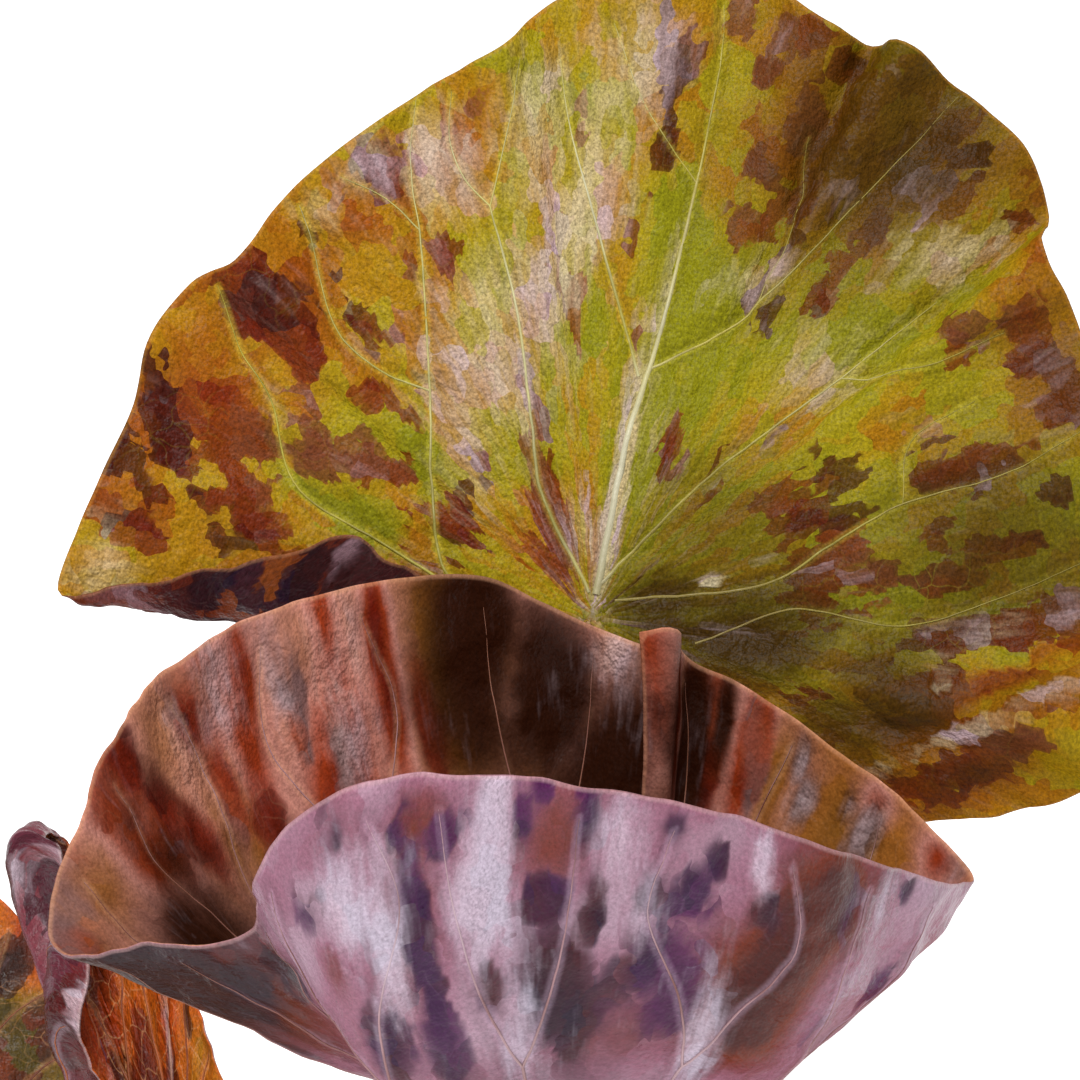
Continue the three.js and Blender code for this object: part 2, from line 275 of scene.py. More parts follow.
@dataclass(frozen=True)
class Spot:
    """An oval mark on a blade laid flat, placed in millimetres across and along from the heart."""

    x: float
    y: float
    wide: float
    tall: float
    turn: float
    amount: float

    def weight(self, flat: np.ndarray) -> np.ndarray:
        """Say how strongly the mark covers points of the flat blade.

        Args:
            flat: The points' across and along places, in the last axis.

        Returns:
            The amount at each point, half of it on the oval's line.
        """
        turn = math.radians(self.turn)
        dx, dy = flat[..., 0] - self.x, flat[..., 1] - self.y
        u = (dx * math.cos(turn) + dy * math.sin(turn)) / self.wide
        w = (dy * math.cos(turn) - dx * math.sin(turn)) / self.tall
        return self.amount * np.exp2(-(u * u + w * w))


def ovals(*rows: tuple[float, ...]) -> tuple[Spot, ...]:
    """Make marks from rows of across, along, width, height, turn and amount."""
    return tuple(Spot(*row) for row in rows)


def streaks(*rows: tuple[float, ...]) -> tuple[Spot, ...]:
    """Make marks drawn out along their ribs, from rows of across, along, width, height and amount."""
    return tuple(Spot(*row[:4], math.degrees(math.atan2(-row[0], row[1])), row[4]) for row in rows)


@dataclass(frozen=True)
class Marks:
    """What colours one side of a blade: its usual tone and the places that differ from it."""

    tone: float = 0.4
    warm: tuple[Spot, ...] = ()
    stain: tuple[Spot, ...] = ()
    # The sheen marks are a painted sheen and the shade marks painted shade, laid over the blade's own
    # colours
    painted_sheen: tuple[Spot, ...] = ()
    shade: tuple[Spot, ...] = ()
    net: tuple[Spot, ...] = ()

    def fields(self, flat: np.ndarray, chips: np.ndarray) -> dict[str, np.ndarray]:
        """Work out the side's colour fields.

        Args:
            flat: The points' across and along places, in the last axis.
            chips: The same places drawn towards the middles of small angular chips.

        Returns:
            The tone, stain, painted sheen, painted shade and net at each point.
        """
        half = 0.5 * (flat + chips)
        tone = self.tone + sum((spot.weight(half) for spot in self.warm), np.zeros(flat.shape[:-1]))
        found = {"tone": np.clip(tone, 0, 1)}
        for name, places in (("stain", chips), ("painted_sheen", half), ("shade", half), ("net", flat)):
            value = np.zeros(flat.shape[:-1])
            for spot in getattr(self, name):
                weight = spot.weight(places)
                value = np.where(np.abs(weight) > np.abs(value), weight, value)
            found[name] = value
        return found


@dataclass(frozen=True)
class Vein:
    """A vein along points of the blade laid flat, thinning from its start to its end."""

    path: tuple[tuple[float, float], ...]
    start: float
    end: float

    def samples(self, step: float) -> np.ndarray:
        """Follow the vein.

        Args:
            step: The distance between places, in millimetres.

        Returns:
            Rows of across, along and the vein's radius.
        """
        points = np.array(self.path, float)
        length = float(np.linalg.norm(np.diff(points, axis=0), axis=1).sum())
        shares = np.linspace(0, 1, max(3, round(length / step) + 1))
        radius = self.start + (self.end - self.start) * shares
        return np.column_stack([catmull_rom(points, shares), radius])


@dataclass(frozen=True)
class Relief:
    """The small heights of a blade between its veins, in millimetres."""

    pucker: float = 0.6
    pucker_reach: float = 2.6
    swell: float = 0.35
    swell_length: float = 9.0
    ruffle: float = 0.5
    ruffle_length: float = 9.0
    pucker_rise: float = 0.6
    small_swell: float = 0.4
    stray: float = 1.4
    stray_length: float = 30
    ruffle_reach: float = 4
    calm_reach: float = 6

    def lift(
        self, flat: np.ndarray, vein: np.ndarray, edge: np.ndarray, margin: np.ndarray, seed: int
    ) -> np.ndarray:
        """Say how far the blade stands off its plain form.

        Args:
            flat: The points' across and along places.
            vein: Their distance from the nearest vein.
            edge: Their distance from the margin.
            margin: How far round the margin they lie, in millimetres.
            seed: What the swells are drawn from.

        Returns:
            The lift at each point.
        """
        puckers = self.pucker * (self.pucker_rise - np.exp(-((vein / self.pucker_reach) ** 2)))
        large = swell(flat / self.swell_length, seed)
        small = swell(flat / (self.small_swell * self.swell_length), seed + 1)
        swells = self.swell * large + self.small_swell * self.swell * small
        stray = self.stray * swell(flat / self.stray_length, seed + 2)
        wave = np.sin(2 * math.pi * margin / self.ruffle_length + stray)
        ruffles = self.ruffle * wave * np.exp(-((edge / self.ruffle_reach) ** 2))
        calm = 1 - np.exp(-((np.linalg.norm(flat, axis=-1) / self.calm_reach) ** 2))
        return (puckers + swells) * calm + ruffles


def swell(places: np.ndarray, seed: int) -> np.ndarray:
    """Add up waves that run in many directions.

    Args:
        places: Points in wavelengths, in the last axis.
        seed: What the directions are drawn from.

    Returns:
        A smooth, irregular height between about -1 and 1 at each point.
    """
    draw = np.random.default_rng(seed)
    height = np.zeros(places.shape[:-1])
    for _ in range(SWELL_WAVES):
        turn, phase = draw.uniform(0, 2 * math.pi, 2)
        rate = draw.uniform(*SWELL_RATES)
        along = places[..., 0] * math.cos(turn) + places[..., 1] * math.sin(turn)
        height += np.sin(2 * math.pi * rate * along + phase)
    return 2 * height / SWELL_WAVES


def thickness(share: np.ndarray) -> np.ndarray:
    """Say how thick a blade is at shares of the way from its heart to its margin."""
    return HEART_THICKNESS + (MARGIN_THICKNESS - HEART_THICKNESS) * np.sqrt(share)


def search_tree(places: np.ndarray) -> KDTree:
    """Make a tree that finds the nearest of some flat places.

    Args:
        places: Rows of across and along.

    Returns:
        The tree.
    """
    tree = KDTree(len(places))
    for i, (x, y) in enumerate(places):
        tree.insert((x, y, 0), i)
    tree.balance()
    return tree


def carry(mesh: bpy.types.Mesh, name: str, values: np.ndarray) -> None:
    """Write a number or a place for each point of a mesh, which nodes then read by its name.

    Args:
        mesh: The mesh.
        name: What the nodes call it.
        values: One number or one row of three numbers for each point.
    """
    kind, field = ("FLOAT", "value") if values.ndim == 1 else ("FLOAT_VECTOR", "vector")
    data = mesh.attributes.new(name, kind, "POINT").data
    data.foreach_set(field, values.astype(np.float32).ravel())


def line_mesh(name: str, lines: list[np.ndarray], widths: list[np.ndarray]) -> bpy.types.Mesh:
    """Make a mesh of lines that each point gives a width, for the tree that makes round tubes.

    Args:
        name: The mesh's name.
        lines: Each line's points, in metres.
        widths: The radius at each of them.

    Returns:
        The mesh.
    """
    edges, first = [], 0
    for line in lines:
        edges += [(first + i, first + i + 1) for i in range(len(line) - 1)]
        first += len(line)
    mesh = bpy.data.meshes.new(name)
    mesh.from_pydata(np.vstack(lines).tolist(), edges, [])
    carry(mesh, "width", np.concatenate(widths))
    return mesh


def linear(code: str) -> tuple[float, float, float, float]:
    """Turn a colour code such as "8a4a35" to the linear light values that shaders use."""
    values = [int(code[i : i + 2], 16) / 255 for i in (0, 2, 4)]
    return (*[v / 12.92 if v <= 0.04045 else ((v + 0.055) / 1.055) ** 2.4 for v in values], 1.0)


@dataclass(frozen=True)
class Noise:
    """An irregular pattern: its patches a unit, the finer layers laid over them and how strong those are."""

    scale: float
    detail: float
    rough: float = 0.5
    sides: str = "2D"


# The skins' patterns, with their patches a millimetre
WANDER = Noise(0.3, 1.0, 0.6)
PATCH = Noise(0.13, 1.0, 0.55)
FINE = Noise(1.1, 3.0, 0.65)
BROAD = Noise(0.07, 1.0)
BLOTCH_KIND = Noise(0.075, 0.0)
NET_PATCHES = Noise(0.09, 1.0)
STREAKS = Noise(0.8, 2.0, 0.65)
SPECKS = Noise(2.2, 2.0, 0.75)
CRUMPLE = Noise(0.8, 2.0, 0.62)
CELL_SCALE, CELL_WANDER = 0.5, 3.4
NET_SCALE, NET_WANDER, NET_LINE = 0.3, 2.2, 0.05
STREAK_SHAPE = (1.0, 0.35, 1.0)
FLECK_DETAIL, GRAIN_DETAIL, GRAIN_SCALE, FLECK_ROUGH, FLECK_STRETCH = 3.0, 2.0, 6, 0.6, 0.4

# How far from a vein or from the margin a tint or the painted shade beside a vein lies, in millimetres, and
# its share
NEAR_VEIN, NEAR_VEIN_SHARE = (0.2, 0.8), 0.28
BESIDE_VEIN, PAST_VEIN, BESIDE_VEIN_SHARE = (0.4, 0.9), (1.0, 2.0), 0.16
RIM, RIM_SHARE = (0.05, 0.45), 0.35

# The smallest and largest amount of a field between which its colour comes in
DRIFT_STEP = (0.46, 0.5)
VEIL_STEP, VEIL_RISE, VEIL_LEAST = (0.5, 1.0), 0.2, 0.8
NET_STEP = (0.42, 0.66)
SHADE_STEP = (0.1, 1.2)
SHEEN_STEP, SHEEN_SHARE = (0.1, 1.0), 0.75
FLECK_STEP, GRAIN_SHARE, TINT_SHARE = (0.38, 0.62), 0.4, 0.8

# How far the patterns shift the tone, the blotches' edge and kind, the painted shade, the painted sheen and
# the gloss
BROAD_TONE, PATCH_TONE, CELL_TONE = 0.4, 0.12, 0.1
RAGGED_EDGE, CELL_EDGE, WORN_EDGE = 1.1, 0.24, 0.12
KIND_WIDTH, KIND_MIDDLE, CELL_KIND = 2.2, 0.4, 0.25
PATCH_SHADE, CELL_SHEEN, PALE_WIDTH, PALE_MIDDLE = 0.5, 0.3, 3.0, 0.5
GLOSS_WIDTH, COAT_ROUGHNESS = 0.3, 0.22
WET_RELIEF, BUMP_STRENGTH, BUMP_DEPTH, FLECK_DEPTH = 1.2, 0.6, 0.8, 0.6


class Graph:
    """Adds nodes to one node tree and links them."""

    def __init__(self, tree: bpy.types.NodeTree) -> None:
        """Keep the tree that the nodes go to."""
        self.tree = tree

    def add(
        self, kind: str, inputs: dict[str | int, object] | None = None, **settings: object
    ) -> bpy.types.Node:
        """Add a node.

        Args:
            kind: The node type's identifier.
            inputs: Values, or sockets to link, by the input's name or number.
            **settings: The node's own properties.

        Returns:
            The node.
        """
        node = self.tree.nodes.new(kind)
        for name, value in settings.items():
            setattr(node, name, value)
        for key, value in (inputs or {}).items():
            socket = node.inputs[key]
            if isinstance(value, bpy.types.NodeSocket):
                self.tree.links.new(value, socket)
            else:
                socket.default_value = value
        return node

    def math(self, operation: str, *values: object, clamp: bool = False) -> Socket:
        """Work out a sum or another operation on values, kept from 0 to 1 if clamp is set."""
        inputs = dict(enumerate(values))
        return self.add("ShaderNodeMath", inputs, operation=operation, use_clamp=clamp).outputs[0]

    def total(self, first: object, *others: object) -> Socket:
        """Add values up.

        Args:
            first: A value.
            *others: The values to add to it.

        Returns:
            Their sum.
        """
        for other in others:
            first = self.math("ADD", first, other)
        return first

    def swing(self, value: Socket, width: float, middle: float = 0.0) -> Socket:
        """Spread a value from 0 to 1 over the width given, round the middle given."""
        return self.math("MULTIPLY_ADD", value, width, middle - width / 2)

    def attribute(self, name: str, output: str = "Fac") -> Socket:
        """Read a value that the mesh carries."""
        return self.add("ShaderNodeAttribute", attribute_name=name).outputs[output]

    def noise(self, place: Socket, kind: Noise, output: str = "Fac") -> Socket:
        """Read an irregular pattern at places, as values about a half or as a colour."""
        inputs = {"Vector": place, "Scale": kind.scale, "Detail": kind.detail, "Roughness": kind.rough}
        return self.add("ShaderNodeTexNoise", inputs, noise_dimensions=kind.sides).outputs[output]

    def step(self, value: Socket, low: float, high: float) -> Socket:
        """Rise smoothly from 0 at the low value to 1 at the high one."""
        inputs = {"Value": value, "From Min": low, "From Max": high}
        return self.add("ShaderNodeMapRange", inputs, interpolation_type="SMOOTHSTEP").outputs[0]

    def fade(self, value: Socket, low: float, high: float) -> Socket:
        """Fall smoothly from 1 at the low value to 0 at the high one."""
        return self.math("SUBTRACT", 1.0, self.step(value, low, high))

    def blend(self, share: object, first: object, second: object, kind: str = "MIX") -> Socket:
        """Mix two colours.

        Args:
            share: How much of the second there is, from 0 to 1.
            first: The first colour.
            second: The second colour, or its code.
            kind: How they are mixed.

        Returns:
            The mixed colour.
        """
        inputs = {0: share, 6: first, 7: linear(second) if isinstance(second, str) else second}
        node = self.add("ShaderNodeMix", inputs, data_type="RGBA", blend_type=kind, clamp_factor=True)
        return node.outputs[2]

    def vector(self, operation: str, inputs: dict[int | str, object]) -> Socket:
        """Work out an operation on places or directions."""
        return self.add("ShaderNodeVectorMath", inputs, operation=operation).outputs[0]

    def shift(self, place: Socket, by: Socket, amount: float) -> Socket:
        """Move places by a colour's difference from grey."""
        centred = self.vector("SUBTRACT", {0: by, 1: GREY})
        return self.vector("MULTIPLY_ADD", {0: centred, 1: (amount, amount, 0.0), 2: place})

    def stretch(self, place: Socket, scale: Place) -> Socket:
        """Scale places along each axis."""
        return self.add("ShaderNodeMapping", {"Vector": place, "Scale": scale}).outputs[0]

    def ramp(self, share: Socket, colours: tuple[str, ...]) -> Socket:
        """Look a share up in evenly spaced colours.

        Args:
            share: The share, from 0 to 1.
            colours: The colours' codes.

        Returns:
            The colour.
        """
        node = self.add("ShaderNodeValToRGB", {0: share})
        stops = node.color_ramp.elements
        while len(stops) < len(colours):
            stops.new(0.5)
        for i, code in enumerate(colours):
            stops[i].position = i / (len(colours) - 1)
            stops[i].color = linear(code)
        return node.outputs[0]

    def bump(self, height: Socket, strength: float, distance: float) -> Socket:
        """Turn heights to the way that the surface seems to face."""
        inputs = {"Height": height, "Strength": strength, "Distance": distance * MM}
        return self.add("ShaderNodeBump", inputs).outputs[0]

    def shader(self, inputs: dict[str | int, object]) -> None:
        """End the tree with the surface's shader, of the values given."""
        made = self.add("ShaderNodeBsdfPrincipled", inputs)
        self.add("ShaderNodeOutputMaterial", {"Surface": made.outputs[0]})


def new_material(name: str) -> tuple[bpy.types.Material, Graph]:
    """Start a material.

    Args:
        name: Its name.

    Returns:
        The material, and its empty tree.
    """
    made = bpy.data.materials.new(name)
    made.use_nodes = True
    made.node_tree.nodes.clear()
    return made, Graph(made.node_tree)


@dataclass(frozen=True)
class LeafSkin:
    """The finish of one side of a blade: tones, blotches, net of veinlets, painted shade, a painted sheen
    and wet gloss.
    """

    name: str
    tones: tuple[str, ...]
    stains: tuple[str, ...]
    # The pale colours of the painted sheen, then the dark colour of the painted shade
    painted_sheen: tuple[str, ...]
    shade: str
    net: str
    net_amount: float
    rim: str
    scatter: float
    shine: float
    roughness: float = 0.44
    coat: float = 0.0
    grain: float = 0.6
    soft: float = 0.02
    crisp: float = 1.0
    depth: float = 0.8
    wrinkle: float = 0.7
    mottle: float = 0.6

    @property
    def chipping(self) -> float:
        """Say how far the blotches follow the small chips, from 0 to 1."""
        return min(self.crisp, 1.0)

    def material(self) -> bpy.types.Material:
        """Build the material from the fields that each blade carries.

        Returns:
            The material.
        """
        made, graph = new_material(self.name)
        flat = graph.attribute("disc", "Vector")
        radial = graph.attribute("radial", "Vector")
        wander = graph.noise(flat, WANDER, "Color")
        moved = graph.shift(radial, wander, CELL_WANDER)
        inputs = {"Vector": moved, "Scale": CELL_SCALE}
        cell = graph.add("ShaderNodeTexVoronoi", inputs, voronoi_dimensions="2D").outputs
        inputs = {0: self.chipping, 4: moved, 5: cell["Position"]}
        chip = graph.add("ShaderNodeMix", inputs, data_type="VECTOR").outputs[1]
        patch = graph.noise(chip, PATCH)
        fine = graph.noise(flat, FINE)
        chance = graph.add("ShaderNodeSeparateColor", {0: cell["Color"]}).outputs
        colour = self._pigment(graph, (flat, chip), chance, patch, fine)
        colour = self._net(graph, graph.shift(flat, wander, NET_WANDER), colour)
        colour = self._light_and_dark(graph, (flat, radial), chance[2], patch, colour)
        wet = graph.math("MULTIPLY_ADD", graph.attribute("painted_sheen"), WET_RELIEF, self.wrinkle)
        height = graph.math("MULTIPLY", graph.noise(flat, CRUMPLE), wet)
        inputs = {
            "Base Color": colour,
            "Roughness": graph.swing(fine, GLOSS_WIDTH, self.roughness),
            "Normal": graph.bump(height, BUMP_STRENGTH, BUMP_DEPTH),
            "Coat Weight": self.coat,
            "Coat Roughness": COAT_ROUGHNESS,
            "Specular IOR Level": self.shine,
        }
        graph.shader(inputs)
        return made

    def _pigment(
        self,
        graph: Graph,
        places: tuple[Socket, Socket],
        chance: Sequence[Socket],
        patch: Socket,
        fine: Socket,
    ) -> Socket:
        """Lay the tones and the blotches.

        Args:
            graph: Where the nodes go.
            places: The places on the blade laid flat, and the same drawn to the middles of small cells.
            chance: Three random values that are one throughout each cell.
            patch: A soft value that is nearly one throughout each cell.
            fine: Fine irregular values.

        Returns:
            The colour.
        """
        flat, chip = places
        broad = graph.swing(graph.noise(flat, BROAD), BROAD_TONE)
        drift = graph.swing(graph.step(patch, *DRIFT_STEP), PATCH_TONE * self.crisp)
        spread = graph.swing(chance[0], CELL_TONE * self.crisp)
        colour = graph.ramp(graph.total(graph.attribute("tone"), broad, drift, spread), self.tones)
        ragged = graph.swing(patch, RAGGED_EDGE, self.scatter)
        chipped = graph.swing(chance[1], CELL_EDGE * self.chipping)
        amount = graph.total(graph.attribute("stain"), ragged, chipped, graph.swing(fine, WORN_EDGE))
        stained = graph.step(amount, 0.5 - self.soft, 0.5 + self.soft)
        kind = graph.swing(graph.noise(chip, BLOTCH_KIND), KIND_WIDTH, KIND_MIDDLE)
        blotch = graph.ramp(graph.total(kind, graph.math("MULTIPLY", chance[2], CELL_KIND)), self.stains)
        veil = graph.math("MULTIPLY_ADD", graph.step(amount, *VEIL_STEP), VEIL_RISE, VEIL_LEAST)
        return graph.blend(graph.math("MULTIPLY", stained, veil), colour, blotch)

    def _net(self, graph: Graph, wandering: Socket, colour: Socket) -> Socket:
        """Draw the net of veinlets, and the pale line on each vein with a dark line of painted shade beside
        it.

        Args:
            graph: Where the nodes go.
            wandering: The places on the blade laid flat, a little disturbed.
            colour: The colour so far.

        Returns:
            The new colour.
        """
        inputs = {"Vector": wandering, "Scale": NET_SCALE}
        settings = {"voronoi_dimensions": "2D", "feature": "DISTANCE_TO_EDGE"}
        gap = graph.add("ShaderNodeTexVoronoi", inputs, **settings).outputs["Distance"]
        patches = graph.step(graph.noise(wandering, NET_PATCHES), *NET_STEP)
        here = graph.total(graph.math("MULTIPLY", patches, self.net_amount), graph.attribute("net"))
        shown = graph.math("MULTIPLY", graph.fade(gap, 0.0, NET_LINE), here, clamp=True)
        away = graph.attribute("vein")
        near = graph.math("MULTIPLY", graph.fade(away, *NEAR_VEIN), NEAR_VEIN_SHARE)
        beside = graph.math("SUBTRACT", graph.step(away, *BESIDE_VEIN), graph.step(away, *PAST_VEIN))
        colour = graph.blend(shown, colour, self.net)
        # Painted shade in the dip beside each vein
        colour = graph.blend(graph.math("MULTIPLY", beside, BESIDE_VEIN_SHARE), colour, self.shade)
        return graph.blend(near, colour, self.net)

    def _light_and_dark(
        self, graph: Graph, places: tuple[Socket, Socket], chance: Socket, patch: Socket, colour: Socket
    ) -> Socket:
        """Lay the painted deep shade, the painted pale sheen, the rim and the grain over the colour.

        Args:
            graph: Where the nodes go.
            places: The places on the blade laid flat, and round the heart.
            chance: A random value that is one throughout each cell.
            patch: A soft value that is nearly one throughout each cell.
            colour: The colour so far.

        Returns:
            The finished colour.
        """
        flat, radial = places
        # Painted shade first, then the painted sheen over it
        deep = graph.total(graph.attribute("shade"), graph.swing(patch, PATCH_SHADE))
        colour = graph.blend(graph.step(deep, *SHADE_STEP), colour, self.shade)
        streak = graph.noise(graph.stretch(radial, STREAK_SHAPE), STREAKS)
        uneven = graph.math("MULTIPLY_ADD", graph.total(streak, patch), self.mottle, -self.mottle)
        uneven = graph.total(uneven, graph.swing(chance, CELL_SHEEN * self.chipping))
        soft = graph.step(graph.total(graph.attribute("painted_sheen"), uneven), *SHEEN_STEP)
        pale = graph.ramp(graph.swing(patch, PALE_WIDTH, PALE_MIDDLE), self.painted_sheen)
        colour = graph.blend(graph.math("MULTIPLY", soft, SHEEN_SHARE), colour, pale)
        rim = graph.math("MULTIPLY", graph.fade(graph.attribute("edge"), *RIM), RIM_SHARE)
        colour = graph.blend(rim, colour, self.rim)
        pits = graph.swing(graph.noise(flat, SPECKS), 2.0 * self.grain, self.depth)
        grey = graph.add("ShaderNodeCombineColor", {0: pits, 1: pits, 2: pits}).outputs[0]
        return graph.blend(1.0, colour, grey, "MULTIPLY")


@dataclass(frozen=True)
class FlecksFinish:
    """The finish of a small part: two colours in flecks drawn out along one way, and a soft gloss."""

    name: str
    light: str
    dark: str
    fleck: float
    roughness: float
    coat: float
    depth: float = 0.3
    # On a vein, the tints that it takes where its blade has painted sheen and painted shade
    pale: str = ""
    deep: str = ""

    def material(self) -> bpy.types.Material:
        """Build the material from the object's own places.

        Returns:
            The material.
        """
        made, graph = new_material(self.name)
        place = graph.add("ShaderNodeTexCoord").outputs["Object"]
        drawn = graph.stretch(place, (1 / MM, 1 / MM, FLECK_STRETCH / MM))
        fleck = graph.noise(drawn, Noise(1 / self.fleck, FLECK_DETAIL, FLECK_ROUGH, "3D"))
        grain = graph.noise(drawn, Noise(GRAIN_SCALE / self.fleck, GRAIN_DETAIL, FLECK_ROUGH, "3D"))
        fine = graph.math("MULTIPLY", grain, GRAIN_SHARE)
        colour = graph.blend(graph.step(fleck, *FLECK_STEP), linear(self.light), self.dark)
        colour = graph.blend(fine, colour, self.dark)
        # A vein takes its blade's painted sheen and painted shade
        for field, tint in (("painted_sheen", self.pale), ("shade", self.deep)):
            if tint:
                share = graph.math("MULTIPLY", graph.attribute(field), TINT_SHARE, clamp=True)
                colour = graph.blend(share, colour, tint)
        inputs = {
            "Base Color": colour,
            "Roughness": graph.swing(grain, GLOSS_WIDTH, self.roughness),
            "Normal": graph.bump(graph.total(fleck, fine), self.depth, FLECK_DEPTH),
            "Coat Weight": self.coat,
        }
        graph.shader(inputs)
        return made


class GrownForm:
    """A geometry node tree with named inputs, run once on a mesh and kept as plain faces."""

    def __init__(self, name: str, inputs: dict[str, float | int]) -> None:
        """Start the tree.

        Args:
            name: The tree's name.
            inputs: The named inputs and what they usually are.
        """
        self.tree = bpy.data.node_groups.new(name, "GeometryNodeTree")
        self.graph = Graph(self.tree)
        sockets = self.tree.interface
        sockets.new_socket(name="Geometry", in_out="INPUT", socket_type="NodeSocketGeometry")
        sockets.new_socket(name="Geometry", in_out="OUTPUT", socket_type="NodeSocketGeometry")
        for key, value in inputs.items():
            kind = "NodeSocketInt" if isinstance(value, int) else "NodeSocketFloat"
            sockets.new_socket(name=key, in_out="INPUT", socket_type=kind).default_value = value
        sockets.new_socket(name="Material", in_out="INPUT", socket_type="NodeSocketMaterial")
        self.given = self.graph.add("NodeGroupInput").outputs

    def close(self, geometry: Socket) -> None:
        """End the tree: real faces, the material given, then the output.

        Args:
            geometry: What the tree has made.
        """
        real = self.graph.add("GeometryNodeRealizeInstances", {0: geometry}).outputs[0]
        inputs = {"Geometry": real, "Material": self.given["Material"]}
        dressed = self.graph.add("GeometryNodeSetMaterial", inputs)
        self.graph.add("NodeGroupOutput", {0: dressed.outputs[0]})

    def grow(self, name: str, seed: bpy.types.Mesh, values: dict[str, object]) -> bpy.types.Object:
        """Run the tree on a mesh.

        Args:
            name: The new object's name.
            seed: The mesh to start from.
            values: The inputs to set, by name.

        Returns:
            An object with the finished faces and no modifier.
        """
        made = show(name, seed)
        modifier = made.modifiers.new("grow", "NODES")
        modifier.node_group = self.tree
        for item in self.tree.interface.items_tree:
            if item.in_out == "INPUT" and item.name in values:
                modifier[item.identifier] = values[item.name]
        depsgraph = bpy.context.evaluated_depsgraph_get()
        finished = bpy.data.meshes.new_from_object(made.evaluated_get(depsgraph), depsgraph=depsgraph)
        made.modifiers.clear()
        made.data = finished
        bpy.data.meshes.remove(seed)
        finished.name = name
        finished.shade_smooth()
        return made


def show(name: str, data: bpy.types.ID) -> bpy.types.Object:
    """Put a mesh, a lamp or a camera in the scene.

    Args:
        name: The object's name.
        data: What it shows.

    Returns:
        The object.
    """
    made = bpy.data.objects.new(name, data)
    bpy.context.scene.collection.objects.link(made)
    return made


def tube_form() -> GrownForm:
    """Build the tree that turns lines to round tubes closed at both ends.

    Returns:
        The tree, which reads each point's width.
    """
    form = GrownForm("round_tubes", {"Sides": 8, "Girth": 1.0})
    graph, given = form.graph, form.given
    lines = graph.add("GeometryNodeMeshToCurve", {"Mesh": given["Geometry"]}).outputs[0]
    width = graph.add("GeometryNodeInputNamedAttribute", {"Name": "width"}, data_type="FLOAT")
    radius = graph.math("MULTIPLY", width.outputs["Attribute"], given["Girth"])
    inputs = {"Resolution": given["Sides"], "Radius": 1.0}
    round_line = graph.add("GeometryNodeCurvePrimitiveCircle", inputs).outputs[0]
    inputs = {"Curve": lines, "Profile Curve": round_line, "Scale": radius, "Fill Caps": True}
    form.close(graph.add("GeometryNodeCurveToMesh", inputs).outputs[0])
    return form


class Side(Enum):
    """The two sides of a blade."""

    UPPER = 1
    LOWER = -1


